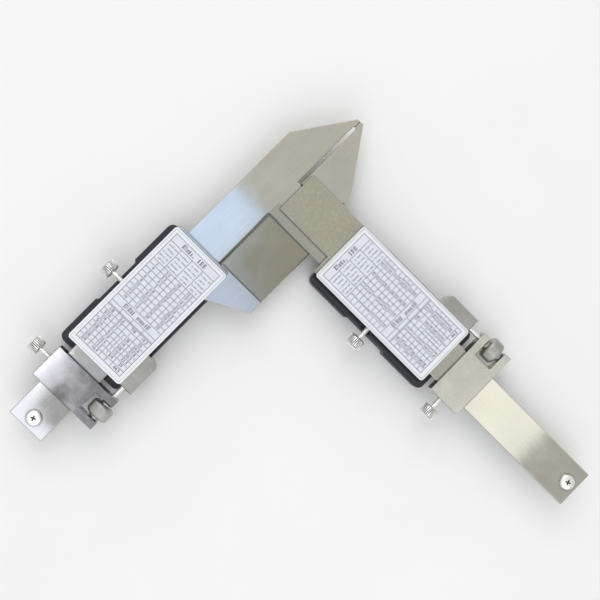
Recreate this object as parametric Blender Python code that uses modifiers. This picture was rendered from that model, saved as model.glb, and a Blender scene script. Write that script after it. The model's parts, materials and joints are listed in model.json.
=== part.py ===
"""Digital gear tooth caliper: two crossed beams, each with its own display slider.

The tooth beam runs along Y and carries the tongue slider, which sets the depth.
The width beam runs along X and carries the jaw slider, which reads the thickness.
The gauge lies on its two display housings, with its backs and jaws facing up.
Lengths are in metres, +Z is up, and the origin is the middle of the base.
"""

import math

import bmesh
import bpy
from mathutils import Matrix, Vector

MM = 0.001

# Beams: one L-shaped plate, measured from the outer foot corner of the two beams
BEAM_WIDTH = 16.0 * MM
BEAM_THICKNESS = 3.5 * MM
TOOTH_BEAM_TAIL = 16.1 * MM
WIDTH_BEAM_TAIL = 54.3 * MM
EDGE_BREAK = 0.25 * MM

# Jaws: the fixed one grows from the tooth beam, the movable one mirrors it
JAW_REACH = 33.0 * MM
JAW_TAPER = 21.8 * MM
JAW_SEAM = 0.4 * MM
JAW_RELIEF = 0.7 * MM
JAW_LAND = 2.7 * MM
JAW_TIP = 1.5 * MM
JAW_WIDTH = 16.8 * MM
JAW_CLOSED_GAP = 0.05 * MM
JAW_PLATE_FOOT = 3.8 * MM
JAW_PLATE_START = 1.9 * MM
JAW_PLATE_OVERLAP = 2.0 * MM

# Tongue blade and the arm that carries it
TONGUE_OFFSET = 0.9 * MM
TONGUE_WIDTH = 21.1 * MM
TONGUE_TRAVEL = 25.0 * MM
TONGUE_CORNER_X = 5.2 * MM
TONGUE_CORNER_Y = 3.2 * MM
ARM_DEPTH = 5.9 * MM
ARM_SLOPE = 8.9 * MM
ARM_ROOT = 1.0 * MM

# Heights from the display faces upward
FRONT_PLATE = 1.8 * MM
BACK_PLATE = 1.9 * MM
COVER_THICKNESS = 1.0 * MM
CARRIAGE_PLATE = 1.2 * MM
SEAT_GAP = 0.3 * MM
SLIDE_GAP = 0.25 * MM

# Slider heads: places along the beam run from the cover's jaw end toward the beam's tail
TONGUE_HEAD_DROP = 27.8 * MM
JAW_HEAD_SHIFT = 28.8 * MM
COVER_LOCK_OVERHANG = 4.6 * MM
COVER_NUT_OVERHANG = 5.8 * MM
COVER_CORNER = 1.3 * MM
LABEL_RIM = 0.6 * MM
LABEL_RECESS = 0.2 * MM
COVER_EDGE_BREAK = 0.15 * MM
SLIDER_INSET = 0.8 * MM
TONGUE_NOSE = 1.8 * MM
TONGUE_LEDGE = 1.0 * MM
JAW_NOSE = 1.4 * MM
WINDOW_START = 8.0 * MM
WINDOW_HALF = 6.5 * MM
GIB_THICKNESS = 0.9 * MM
GIB_INSET = 3.0 * MM
GIB_SCREW_INSET = 9.0 * MM
GIB_SHY = 0.15 * MM
GIB_SCREW_RADIUS = 1.0 * MM
GIB_SCREW_SUNK = 0.3 * MM
GIB_SCREW_SOCKET = 0.5 * MM

# Lug, spindle and roller nut of the fine adjustment
LUG_LENGTH = 15.2 * MM
LUG_REACH = 4.0 * MM
LUG_CORNER = 2.6 * MM
LUG_HEIGHT = 6.0 * MM
LUG_SHY = 0.2 * MM
LUG_ROOT = 1.5 * MM
SPINDLE_RADIUS = 1.0 * MM
SPINDLE_SEAT = 9.0 * MM
SPINDLE_SHY = 1.0 * MM
NUT_RADIUS = 4.6 * MM
NUT_WIDTH = 5.8 * MM
NUT_CLEARANCE = 1.5 * MM
NUT_HUB_RADIUS = 2.1 * MM
NUT_TEETH = 24

# Carriage that clamps to the beam behind the slider
CARRIAGE_STANDOFF = 4.9 * MM
CARRIAGE_LENGTH = 14.4 * MM
CARRIAGE_LOCK_OVERHANG = 3.9 * MM
FORK_REACH = 2.5 * MM
FORK_FLOOR = 1.4 * MM
FORK_ARM = 3.2 * MM
CARRIAGE_GIB = 0.8 * MM
CARRIAGE_GIB_INSET = 1.5 * MM
CARRIAGE_LOCK_INSET = 6.1 * MM

# Knurled lock screws
KNOB_RADIUS = 3.25 * MM
KNOB_LENGTH = 4.4 * MM
KNOB_CHAMFER = 0.6 * MM
KNOB_TEETH = 20
KNURL_DEPTH = 0.22 * MM
SHANK_RADIUS = 1.0 * MM
HEAD_LOCK_PLACE = 29.1 * MM
HEAD_LOCK_STANDOFF = 5.4 * MM
CARRIAGE_LOCK_STANDOFF = 4.3 * MM

# Display housing and what it holds
HOUSING_LOCK_OVERHANG = 2.7 * MM
HOUSING_NUT_OVERHANG = 1.4 * MM
HOUSING_TAIL = 3.6 * MM
HOUSING_CORNER = 2.6 * MM
HOUSING_WALL = 1.3 * MM
HOUSING_FACE = 1.6 * MM
HOUSING_ROOF = 0.7 * MM
HOUSING_EDGE_BREAK = 0.5 * MM
MOUTH_INSET = 0.4 * MM
MOUTH_TAIL_INSET = 1.5 * MM
LOCK_BAY_BEFORE = 8.9 * MM
LOCK_BAY_AFTER = 12.1 * MM
LOCK_BAY_DEPTH = 0.9 * MM
LOCK_BAY_RAMP = 0.8 * MM
RIM_RISE = 2.5 * MM
RIM_GAP = 1.1 * MM
RIM_WALL = 1.2 * MM
RIM_NUT_WALL = 0.8 * MM
RIM_START = 0.8 * MM
RIM_TAIL = 1.5 * MM
RIM_CORNER = 1.3 * MM
RIM_HOOK = 0.7 * MM
RIM_NOTCH = 4.3 * MM
LCD_START = 4.6 * MM
LCD_LENGTH = 34.0 * MM
LCD_WIDTH = 13.0 * MM
LCD_CENTRE = 4.0 * MM
LCD_THICKNESS = 1.8 * MM
LCD_BORDER = 0.9 * MM
LCD_DOOR_GAP = 6.2 * MM
LENS_LIP = 1.2 * MM
LENS_THICKNESS = 0.5 * MM
LENS_REBATE = 0.9 * MM
LENS_CORNER = 1.0 * MM
GLASS_EDGE_BREAK = 0.15 * MM
BUTTON_RADIUS = 2.5 * MM
BUTTON_FLANGE = 0.7 * MM
BUTTON_STEM = 1.1 * MM
BUTTON_INSET = 7.4 * MM
BUTTON_PITCH = 11.5 * MM
BUTTON_FIRST = 10.0 * MM
BUTTON_TRAVEL = 0.4 * MM
BUTTON_REST_GAP = 0.1 * MM
BUTTON_RIB = 1.6 * MM
BATTERY_RADIUS = 5.8 * MM
BATTERY_HEIGHT = 5.4 * MM
BATTERY_INSET = 9.6 * MM
BATTERY_SIDE = 1.1 * MM
CONTACT_HALF = 2.0 * MM
CONTACT_THICKNESS = 0.35 * MM
DOOR_LENGTH = 16.0 * MM
DOOR_HALF = 6.8 * MM
DOOR_RAIL = 0.9 * MM
RAIL_LEDGE = HOUSING_FACE / 2
BOARD_THICKNESS = 1.2 * MM
BOARD_BATTERY_GAP = 0.9 * MM
CONNECTOR_WIDTH = 1.6 * MM
CONNECTOR_INSET = 2.0 * MM

# Scale strips and stop screws on the beams
STRIP_WIDTH = 10.4 * MM
STRIP_THICKNESS = 0.4 * MM
STRIP_END = 9.0 * MM
STOP_SCREW_PLACE = 4.6 * MM
STOP_HEAD_RADIUS = 3.0 * MM
STOP_HEAD_HEIGHT = 1.5 * MM
STOP_SHANK_RADIUS = 1.2 * MM
STOP_HEAD_GAP = 0.15 * MM

ROUND_STEPS = 24
CUT_MARGIN = 1.0 * MM

# Levels worked out from the stack above
HOUSING_HEIGHT = HOUSING_FACE + BATTERY_HEIGHT + SEAT_GAP + HOUSING_ROOF
FRONT_LOW = HOUSING_HEIGHT + SEAT_GAP
FRONT_HIGH = FRONT_LOW + FRONT_PLATE
BEAM_LOW = FRONT_HIGH + SLIDE_GAP
BEAM_HIGH = BEAM_LOW + BEAM_THICKNESS
BACK_LOW = BEAM_HIGH + SLIDE_GAP
BACK_HIGH = BACK_LOW + BACK_PLATE
COVER_LOW = BACK_HIGH + SEAT_GAP
COVER_HIGH = COVER_LOW + COVER_THICKNESS
AXIS_HEIGHT = (BEAM_LOW + BEAM_HIGH) / 2
BOARD_HIGH = FRONT_LOW - SEAT_GAP
BOARD_LOW = BOARD_HIGH - BOARD_THICKNESS
SENSOR_HIGH = BEAM_LOW - SEAT_GAP
GIB_LOW = BEAM_LOW + GIB_SHY
GIB_HIGH = BEAM_HIGH - GIB_SHY

# Widths worked out from the beam, across it from its centre line
BEAM_HALF = BEAM_WIDTH / 2
TUNNEL_NUT = BEAM_HALF + SLIDE_GAP
GIB_FACE = BEAM_HALF + SLIDE_GAP
TUNNEL_LOCK = GIB_FACE + GIB_THICKNESS + SEAT_GAP
CARRIAGE_TUNNEL_LOCK = GIB_FACE + CARRIAGE_GIB + SEAT_GAP
COVER_LOCK = BEAM_HALF + COVER_LOCK_OVERHANG
COVER_NUT = BEAM_HALF + COVER_NUT_OVERHANG
SLIDER_LOCK = COVER_LOCK - SLIDER_INSET
SLIDER_NUT = COVER_NUT - SLIDER_INSET
FORK_BED = BEAM_HALF + FORK_FLOOR
SPINDLE_LINE = FORK_BED + NUT_CLEARANCE + NUT_RADIUS
CARRIAGE_LOCK = BEAM_HALF + CARRIAGE_LOCK_OVERHANG
FORK_TIP = SPINDLE_LINE + FORK_REACH
HOUSING_LOCK = COVER_LOCK + HOUSING_LOCK_OVERHANG
HOUSING_NUT = COVER_NUT + HOUSING_NUT_OVERHANG
BUTTON_ROW = BUTTON_INSET - HOUSING_LOCK
HEAD_LOCK_END = SLIDER_LOCK + HEAD_LOCK_STANDOFF
CARRIAGE_LOCK_END = CARRIAGE_LOCK + CARRIAGE_LOCK_STANDOFF

# Places along the beam run: display, battery, cover, carriage and the beams' free tails
LCD_END = LCD_START + LCD_LENGTH
HOUSING_END = LCD_END + LCD_DOOR_GAP + DOOR_LENGTH
COVER_LENGTH = HOUSING_END - HOUSING_TAIL
SLIDER_TAIL = COVER_LENGTH - SLIDER_INSET
LUG_END = COVER_LENGTH - LUG_SHY
LUG_START = LUG_END - LUG_LENGTH
ARM_END = ARM_DEPTH + ARM_SLOPE - TONGUE_NOSE
RIM_END = COVER_LENGTH + RIM_TAIL
MOUTH_START = HOUSING_WALL + SEAT_GAP
MOUTH_END = SLIDER_TAIL - MOUTH_TAIL_INSET
BATTERY_PLACE = HOUSING_END - BATTERY_INSET
BOARD_END = BATTERY_PLACE - BATTERY_RADIUS - BOARD_BATTERY_GAP
WINDOW_END = BOARD_END + SEAT_GAP
LOCK_BAY_START = HEAD_LOCK_PLACE - LOCK_BAY_BEFORE
LOCK_BAY_END = HEAD_LOCK_PLACE + LOCK_BAY_AFTER
CARRIAGE_START = COVER_LENGTH + CARRIAGE_STANDOFF
CARRIAGE_END = CARRIAGE_START + CARRIAGE_LENGTH
TOOTH_BEAM_LENGTH = TONGUE_HEAD_DROP + CARRIAGE_END + TOOTH_BEAM_TAIL
WIDTH_BEAM_LENGTH = BEAM_WIDTH + JAW_HEAD_SHIFT + CARRIAGE_END + WIDTH_BEAM_TAIL
CARRIAGE_LOCK_PLACE = CARRIAGE_START + CARRIAGE_LOCK_INSET
NUT_PLACE = CARRIAGE_START + CARRIAGE_LENGTH / 2

# The origin: the middle of the base, under the highest and widest pieces
SEAM_X = BEAM_WIDTH + JAW_SEAM
TIP_Y = BEAM_WIDTH + JAW_REACH
LEFT_REACH = HEAD_LOCK_END + KNOB_LENGTH - BEAM_HALF
MIDDLE_X = (WIDTH_BEAM_LENGTH - LEFT_REACH) / 2
MIDDLE_Y = (TIP_Y - TOOTH_BEAM_LENGTH) / 2

STEEL = ("ground_steel", (0.72, 0.73, 0.72), 0.28, 1.0)
SATIN = ("satin_steel", (0.66, 0.66, 0.63), 0.38, 1.0)
BRIGHT = ("bright_screw_steel", (0.80, 0.80, 0.77), 0.22, 1.0)
COVER = ("cover_aluminium", (0.86, 0.87, 0.88), 0.35, 1.0)
PLASTIC = ("black_plastic", (0.035, 0.035, 0.04), 0.55, 0.0)
BUTTON = ("grey_button", (0.30, 0.31, 0.33), 0.5, 0.0)
LENS = ("clear_lens", (0.60, 0.66, 0.66), 0.08, 0.0)
LCD = ("display_glass", (0.52, 0.57, 0.50), 0.3, 0.0)
BOARD = ("circuit_board_green", (0.05, 0.22, 0.10), 0.5, 0.0)
RUBBER = ("contact_rubber", (0.45, 0.16, 0.20), 0.7, 0.0)
CELL = ("battery_steel", (0.78, 0.78, 0.76), 0.25, 1.0)
BRASS = ("gib_brass", (0.70, 0.55, 0.28), 0.4, 1.0)
STRIP = ("scale_strip", (0.08, 0.09, 0.10), 0.4, 0.0)


def clear_scene():
    for obj in list(bpy.data.objects):
        bpy.data.objects.remove(obj, do_unlink=True)


def new_collection(name):
    collection = bpy.data.collections.new(name)
    bpy.context.scene.collection.children.link(collection)
    return collection


def material(spec):
    """The Principled material of a (name, colour, roughness, metallic) finish."""
    name, colour, roughness, metallic = spec
    found = bpy.data.materials.get(name)
    if found:
        return found
    made = bpy.data.materials.new(name)
    made.use_nodes = True
    shader = made.node_tree.nodes["Principled BSDF"]
    shader.inputs["Base Color"].default_value = (*colour, 1.0)
    shader.inputs["Roughness"].default_value = roughness
    shader.inputs["Metallic"].default_value = metallic
    return made


def place(name, mesh, finish, parent, location=(0, 0, 0)):
    """A part of the gauge, hung on its head's or the frame's empty."""
    obj = bpy.data.objects.new(name, mesh)
    mesh.materials.clear()
    mesh.materials.append(material(finish))
    PARTS.objects.link(obj)
    obj.parent = parent
    obj.location = location
    return obj


def place_cutter(name, mesh, parent, location=(0, 0, 0)):
    obj = bpy.data.objects.new(name, mesh)
    CUTTERS.objects.link(obj)
    obj.parent = parent
    obj.location = location
    obj.hide_render = True
    obj.display_type = "WIRE"
    return obj


def empty(name, location, turn, parent):
    obj = bpy.data.objects.new(name, None)
    obj.empty_display_size = 0.01
    PARTS.objects.link(obj)
    obj.parent = parent
    obj.location = location
    obj.rotation_euler = (0, 0, turn)
    return obj


def box_mesh(name, low, high):
    """A box between two corners."""
    low, high = Vector(low), Vector(high)
    size = high - low
    bm = bmesh.new()
    bmesh.ops.create_cube(
        bm,
        size=1,
        matrix=Matrix.Translation((low + high) / 2) @ Matrix.Diagonal((*size, 1)),
    )
    return finish_mesh(name, bm)


def finish_mesh(name, bm):
    mesh = bpy.data.meshes.new(name)
    bm.to_mesh(mesh)
    bm.free()
    return mesh


def arc_corner(before, corner, after, radius, steps=4):
    """The points that round one corner of an outline."""
    corner = Vector(corner)
    to_before = (Vector(before) - corner).normalized()
    to_after = (Vector(after) - corner).normalized()
    half = to_before.angle(to_after) / 2
    reach = radius / math.tan(half)
    start = corner + to_before * reach
    end = corner + to_after * reach
    centre = corner + (to_before + to_after).normalized() * radius / math.sin(half)
    first, last = start - centre, end - centre
    sweep = first.angle(last)
    points = []
    for i in range(steps + 1):
        share = i / steps
        spoke = (
            first * math.sin((1 - share) * sweep) + last * math.sin(share * sweep)
        ) / math.sin(sweep)
        points.append(centre + spoke)
    return points


def rounded(corners):
    """An outline from (x, y, radius) corners, with each radius drawn as an arc."""
    points = []
    for i, (x, y, radius) in enumerate(corners):
        before = corners[i - 1][:2]
        after = corners[(i + 1) % len(corners)][:2]
        if radius > 0:
            points += arc_corner(before, (x, y), after, radius)
        else:
            points.append(Vector((x, y)))
    return points


def rectangle(x0, x1, y0, y1, radius=0.0):
    return rounded([(x0, y0, radius), (x1, y0, radius), (x1, y1, radius), (x0, y1, radius)])


def plate_mesh(name, outline, low, high):
    """A flat outline extruded between two heights, as a welded mesh."""
    curve = bpy.data.curves.new(name, "CURVE")
    curve.dimensions = "2D"
    curve.fill_mode = "BOTH"
    curve.extrude = (high - low) / 2
    spline = curve.splines.new("POLY")
    spline.points.add(len(outline) - 1)
    for point, (x, y) in zip(spline.points, outline):
        point.co = (x, y, 0, 1)
    spline.use_cyclic_u = True
    drawn = bpy.data.objects.new(name, curve)
    bpy.context.scene.collection.objects.link(drawn)
    graph = bpy.context.evaluated_depsgraph_get()
    mesh = bpy.data.meshes.new_from_object(drawn.evaluated_get(graph))
    bpy.data.objects.remove(drawn, do_unlink=True)
    bpy.data.curves.remove(curve)
    bm = bmesh.new()
    bm.from_mesh(mesh)
    bmesh.ops.remove_doubles(bm, verts=bm.verts, dist=1e-7)
    bmesh.ops.translate(bm, verts=bm.verts, vec=(0, 0, (low + high) / 2))
    bmesh.ops.dissolve_limit(bm, angle_limit=math.radians(1), verts=bm.verts, edges=bm.edges)
    bmesh.ops.recalc_face_normals(bm, faces=bm.faces)
    bm.to_mesh(mesh)
    bm.free()
    return mesh


def broken_plate_mesh(name, outline, low, high):
    """A plate whose upper rim is chamfered, before it is joined to anything."""
    mesh = plate_mesh(name, outline, low, high)
    bm = bmesh.new()
    bm.from_mesh(mesh)
    middle = (low + high) / 2
    rim = [
        edge
        for edge in bm.edges
        if min(vert.co.z for vert in edge.verts) > middle and edge.calc_face_angle(0) > 1
    ]
    bmesh.ops.bevel(
        bm, geom=rim, offset=EDGE_BREAK, segments=1, affect="EDGES", clamp_overlap=True
    )
    bmesh.ops.recalc_face_normals(bm, faces=bm.faces)
    bm.to_mesh(mesh)
    bm.free()
    return mesh


def rod_mesh(name, radius, start, end, steps=ROUND_STEPS):
    """A round rod between two points on a straight line."""
    start, end = Vector(start), Vector(end)
    line = end - start
    turn = Vector((0, 0, 1)).rotation_difference(line).to_matrix().to_4x4()
    bm = bmesh.new()
    bmesh.ops.create_cone(
        bm,
        cap_ends=True,
        segments=steps,
        radius1=radius,
        radius2=radius,
        depth=line.length,
        matrix=Matrix.Translation((start + end) / 2) @ turn,
    )
    return finish_mesh(name, bm)


def turned_mesh(name, profile, direction, steps=ROUND_STEPS, knurl=None):
    """A lathe-turned piece: (radius, place) points spun round the given direction.

    A knurl (least radius, teeth depth) sinks every other facet beyond that radius.
    """
    bm = bmesh.new()
    ring = [bm.verts.new((radius, 0, along)) for radius, along in profile]
    closed = profile[0][0] > 0
    pairs = list(zip(ring, ring[1:]))
    if closed:
        pairs.append((ring[-1], ring[0]))
    edges = [bm.edges.new(pair) for pair in pairs]
    bmesh.ops.spin(
        bm,
        geom=ring + edges,
        cent=(0, 0, 0),
        axis=(0, 0, 1),
        angle=2 * math.pi,
        steps=steps,
        use_merge=True,
    )
    bmesh.ops.remove_doubles(bm, verts=bm.verts, dist=1e-7)
    if knurl:
        least, depth = knurl
        for vert in bm.verts:
            radius = math.hypot(vert.co.x, vert.co.y)
            turn = round(math.atan2(vert.co.y, vert.co.x) / (2 * math.pi / steps))
            if radius > least and turn % 2:
                vert.co.x *= (radius - depth) / radius
                vert.co.y *= (radius - depth) / radius
    bmesh.ops.recalc_face_normals(bm, faces=bm.faces)
    turn = Vector((0, 0, 1)).rotation_difference(Vector(direction)).to_matrix().to_4x4()
    bmesh.ops.transform(bm, matrix=turn, verts=bm.verts)
    mesh = finish_mesh(name, bm)
    mesh.shade_smooth()
    mesh.set_sharp_from_angle(angle=math.radians(25))
    return mesh


def soften(obj, width=EDGE_BREAK, angle=40):
    """Breaks the sharp edges, as a tumbled or filed edge."""
    bevel = obj.modifiers.new("broken_edges", "BEVEL")
    bevel.width = width
    bevel.segments = 1
    bevel.limit_method = "ANGLE"
    bevel.angle_limit = math.radians(angle)


def boolean(obj, other, operation):
    modifier = obj.modifiers.new(other.name, "BOOLEAN")
    modifier.operation = operation
    modifier.solver = "EXACT"
    modifier.object = other


def cut_box(obj, name, low, high):
    boolean(obj, place_cutter(name, box_mesh(name, low, high), obj.parent), "DIFFERENCE")


def cut_mesh(obj, name, mesh):
    boolean(obj, place_cutter(name, mesh, obj.parent), "DIFFERENCE")


def cut_bore(obj, name, radius, start, end, steps=ROUND_STEPS):
    cut_mesh(obj, name, rod_mesh(name, radius, start, end, steps))


def join_mesh(obj, name, mesh):
    boolean(obj, place_cutter(name, mesh, obj.parent), "UNION")


def jaw_outline(seam_side, outer_x, foot_y, relief_x, seam_x):
    """One jaw from its foot to its tip; seam_side is -1 left of the seam, 1 right of it."""
    tip_x = SEAM_X + seam_side * JAW_TIP
    land_foot = TIP_Y - JAW_LAND
    throat = [
        (
            relief_x - seam_side * JAW_RELIEF * (1 - math.cos(turn)),
            land_foot - JAW_RELIEF + JAW_RELIEF * math.sin(turn),
        )
        for turn in (math.radians(90 * i / 4) for i in range(4))
    ]
    return [
        (relief_x, foot_y),
        *throat,
        (seam_x, land_foot),
        (seam_x, TIP_Y),
        (tip_x, TIP_Y),
        (outer_x, TIP_Y - JAW_TAPER),
        (outer_x, foot_y),
    ]


def make_main_frame(root):
    """The L of the two beams with the fixed jaw, ground from one plate."""
    jaw = jaw_outline(
        -1, 0.0, BEAM_WIDTH, SEAM_X - JAW_RELIEF, SEAM_X - JAW_CLOSED_GAP / 2
    )[:-1]
    outline = [
        (0.0, -TOOTH_BEAM_LENGTH),
        (BEAM_WIDTH, -TOOTH_BEAM_LENGTH),
        (BEAM_WIDTH, 0.0),
        (WIDTH_BEAM_LENGTH, 0.0),
        (WIDTH_BEAM_LENGTH, BEAM_WIDTH),
        *jaw,
    ]
    frame = place(
        "main_frame", plate_mesh("main_frame", outline, BEAM_LOW, BEAM_HIGH), STEEL, root
    )
    soften(frame)
    groove = STRIP_WIDTH / 2 + SEAT_GAP
    floor = BEAM_LOW + STRIP_THICKNESS + SEAT_GAP
    below = BEAM_LOW - CUT_MARGIN
    tooth_groove = [
        (BEAM_HALF - groove, STRIP_END - TOOTH_BEAM_LENGTH - SEAT_GAP, below),
        (BEAM_HALF + groove, -STRIP_END + SEAT_GAP, floor),
    ]
    width_groove = [
        (BEAM_WIDTH + STRIP_END - SEAT_GAP, BEAM_HALF - groove, below),
        (WIDTH_BEAM_LENGTH - STRIP_END + SEAT_GAP, BEAM_HALF + groove, floor),
    ]
    cut_box(frame, "tooth_strip_groove", *tooth_groove)
    cut_box(frame, "width_strip_groove", *width_groove)
    for name, (x, y) in stop_screw_places().items():
        cut_bore(
            frame,
            f"{name}_hole",
            STOP_SHANK_RADIUS + SEAT_GAP,
            (x, y, BEAM_LOW - CUT_MARGIN),
            (x, y, BEAM_HIGH + CUT_MARGIN),
        )
    return frame


def stop_screw_places():
    return {
        "tongue_stop_screw": (BEAM_HALF, STOP_SCREW_PLACE - TOOTH_BEAM_LENGTH),
        "jaw_stop_screw": (WIDTH_BEAM_LENGTH - STOP_SCREW_PLACE, BEAM_HALF),
    }


def make_scale_strips(root):
    """The graduated strips glued into the front faces of the beams."""
    half = STRIP_WIDTH / 2
    top = BEAM_LOW + STRIP_THICKNESS
    tooth = rectangle(
        BEAM_HALF - half, BEAM_HALF + half, STRIP_END - TOOTH_BEAM_LENGTH, -STRIP_END, 0.5 * MM
    )
    width = rectangle(
        BEAM_WIDTH + STRIP_END,
        WIDTH_BEAM_LENGTH - STRIP_END,
        BEAM_HALF - half,
        BEAM_HALF + half,
        0.5 * MM,
    )
    for name, outline in (("tongue_scale_strip", tooth), ("jaw_scale_strip", width)):
        place(name, plate_mesh(name, outline, BEAM_LOW, top), STRIP, root)


def make_stop_screws(root):
    """Pan head screws that keep the carriages from running off the beams."""
    low = -BEAM_HIGH + BEAM_LOW + SEAT_GAP
    dome = [
        (STOP_HEAD_RADIUS * math.cos(turn), STOP_HEAD_HEIGHT * (0.45 + 0.55 * math.sin(turn)))
        for turn in (math.radians(90 * i / 4) for i in range(4))
    ]
    profile = [(0.0, STOP_HEAD_HEIGHT)]
    profile += [(radius, height + STOP_HEAD_GAP) for radius, height in reversed(dome)]
    profile[0] = (0.0, STOP_HEAD_HEIGHT + STOP_HEAD_GAP)
    profile += [
        (STOP_HEAD_RADIUS, STOP_HEAD_GAP),
        (STOP_SHANK_RADIUS, STOP_HEAD_GAP),
        (STOP_SHANK_RADIUS, low),
        (0.0, low),
    ]
    slot = 0.28 * MM
    arm = 1.1 * MM
    deep = STOP_HEAD_HEIGHT * 0.45
    for name, (x, y) in stop_screw_places().items():
        screw = place(
            name, turned_mesh(name, profile, (0, 0, 1)), BRIGHT, root, (x, y, BEAM_HIGH)
        )
        top = BEAM_HIGH + STOP_HEAD_GAP + STOP_HEAD_HEIGHT
        for side, (half_x, half_y) in (("long", (arm, slot)), ("cross", (slot, arm))):
            cut_box(
                screw,
                f"{name}_recess_{side}",
                (x - half_x, y - half_y, top - deep),
                (x + half_x, y + half_y, top + CUT_MARGIN),
            )


def slider_body(name, head, start):
    """The steel slider: a channel round the beam with a front window for the reader."""
    frame = place(
        name,
        box_mesh(name, (start, -SLIDER_LOCK, FRONT_LOW), (SLIDER_TAIL, SLIDER_NUT, BACK_HIGH)),
        SATIN,
        head,
    )
    soften(frame)
    return frame


def lug_outline():
    """The ear that anchors the spindle, on the nut side of the slider."""
    tip = SPINDLE_LINE + LUG_REACH
    inside = SLIDER_NUT - LUG_ROOT
    return rounded(
        [
            (LUG_START, inside, 0),
            (LUG_END, inside, 0),
            (LUG_END, tip, 0),
            (LUG_START, tip, LUG_CORNER),
        ]
    )


def finish_slider(frame, name, start):
    """Adds the lug, then cuts the beam tunnel, the reader window and the screw holes."""
    half_lug = LUG_HEIGHT / 2
    lug = broken_plate_mesh(
        f"{name}_lug", lug_outline(), AXIS_HEIGHT - half_lug, AXIS_HEIGHT + half_lug
    )
    join_mesh(frame, f"{name}_lug", lug)
    cut_box(
        frame,
        f"{name}_tunnel",
        (start - CUT_MARGIN, -TUNNEL_LOCK, FRONT_HIGH),
        (SLIDER_TAIL + CUT_MARGIN, TUNNEL_NUT, BACK_LOW),
    )
    cut_box(
        frame,
        f"{name}_window",
        (WINDOW_START, -WINDOW_HALF, FRONT_LOW - CUT_MARGIN),
        (WINDOW_END, WINDOW_HALF, FRONT_HIGH + CUT_MARGIN / 2),
    )
    outside = -SLIDER_LOCK - CUT_MARGIN
    inside = -TUNNEL_LOCK + CUT_MARGIN / 2
    bores = [("lock_hole", HEAD_LOCK_PLACE, SHANK_RADIUS)]
    bores += [(f"gib_hole_{i + 1}", x, GIB_SCREW_RADIUS) for i, x in enumerate(gib_screw_places())]
    for label, x, radius in bores:
        cut_bore(
            frame,
            f"{name}_{label}",
            radius + SEAT_GAP,
            (x, outside, AXIS_HEIGHT),
            (x, inside, AXIS_HEIGHT),
            16,
        )
    cut_bore(
        frame,
        f"{name}_spindle_hole",
        SPINDLE_RADIUS + SEAT_GAP,
        (COVER_LENGTH - SPINDLE_SEAT - SEAT_GAP, SPINDLE_LINE, AXIS_HEIGHT),
        (COVER_LENGTH + CUT_MARGIN, SPINDLE_LINE, AXIS_HEIGHT),
        16,
    )


def gib_screw_places():
    return (GIB_SCREW_INSET, SLIDER_TAIL - GIB_SCREW_INSET)


def make_tongue_frame(head):
    """The depth slider with its side arm and the thin tongue blade in front."""
    name = "tongue_frame"
    frame = slider_body(name, head, -TONGUE_LEDGE)
    nose = -TONGUE_NOSE
    near = TONGUE_OFFSET + BEAM_HALF
    far = near + TONGUE_WIDTH
    inside = TUNNEL_NUT + ARM_ROOT
    arm = [
        (nose, inside),
        (nose, far),
        (nose + ARM_DEPTH, far),
        (ARM_END, SLIDER_NUT),
        (ARM_END, inside),
    ]
    join_mesh(frame, f"{name}_arm", broken_plate_mesh(f"{name}_arm", arm, FRONT_LOW, BEAM_HIGH))
    tip = -(TONGUE_HEAD_DROP + TIP_Y - TONGUE_TRAVEL)
    blade = [
        (nose + ARM_DEPTH / 2, near),
        (tip, near),
        (tip, far - TONGUE_CORNER_X),
        (tip + TONGUE_CORNER_Y, far),
        (nose + ARM_DEPTH / 2, far),
    ]
    blade_plate = broken_plate_mesh(f"{name}_blade", blade, FRONT_LOW, FRONT_HIGH)
    join_mesh(frame, f"{name}_blade", blade_plate)
    finish_slider(frame, name, -TONGUE_LEDGE)
    return frame


def make_jaw_frame(head):
    """The width slider, one piece with its back plate and the movable jaw."""
    name = "jaw_frame"
    nose = -JAW_NOSE
    frame = slider_body(name, head, nose)
    shift_x = BEAM_WIDTH + JAW_HEAD_SHIFT
    plate_left = BEAM_WIDTH + JAW_PLATE_START - shift_x
    jaw_right = SEAM_X + JAW_WIDTH - shift_x
    foot = BEAM_HALF + SEAT_GAP
    back = rectangle(plate_left, JAW_PLATE_OVERLAP, JAW_PLATE_FOOT - BEAM_HALF, COVER_NUT)
    plate = broken_plate_mesh(f"{name}_plate", back, BACK_LOW, BACK_HIGH)
    join_mesh(frame, f"{name}_plate", plate)
    block = box_mesh(
        f"{name}_block",
        (plate_left, foot, BEAM_LOW),
        (jaw_right, COVER_NUT, BACK_HIGH),
    )
    join_mesh(frame, f"{name}_block", block)
    outline = [
        (x - shift_x, y - BEAM_HALF)
        for x, y in jaw_outline(
            1,
            SEAM_X + JAW_WIDTH,
            BEAM_WIDTH + SEAT_GAP,
            SEAM_X + JAW_RELIEF,
            SEAM_X + JAW_CLOSED_GAP / 2,
        )
    ]
    tip = broken_plate_mesh(f"{name}_tip", outline, BEAM_LOW, BEAM_HIGH)
    join_mesh(frame, f"{name}_tip", tip)
    finish_slider(frame, name, nose)
    return frame


def make_cover(prefix, head):
    """The back cover, with a shallow recess for its table label."""
    name = f"{prefix}_back_cover"
    outline = rectangle(0, COVER_LENGTH, -COVER_LOCK, COVER_NUT, COVER_CORNER)
    cover = place(name, plate_mesh(name, outline, COVER_LOW, COVER_HIGH), COVER, head)
    soften(cover, COVER_EDGE_BREAK)
    recess = rectangle(
        LABEL_RIM,
        COVER_LENGTH - LABEL_RIM,
        LABEL_RIM - COVER_LOCK,
        COVER_NUT - LABEL_RIM,
        COVER_CORNER - LABEL_RIM / 2,
    )
    cut_mesh(
        cover,
        f"{name}_recess",
        plate_mesh(f"{name}_recess", recess, COVER_HIGH - LABEL_RECESS, COVER_HIGH + CUT_MARGIN),
    )


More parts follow.
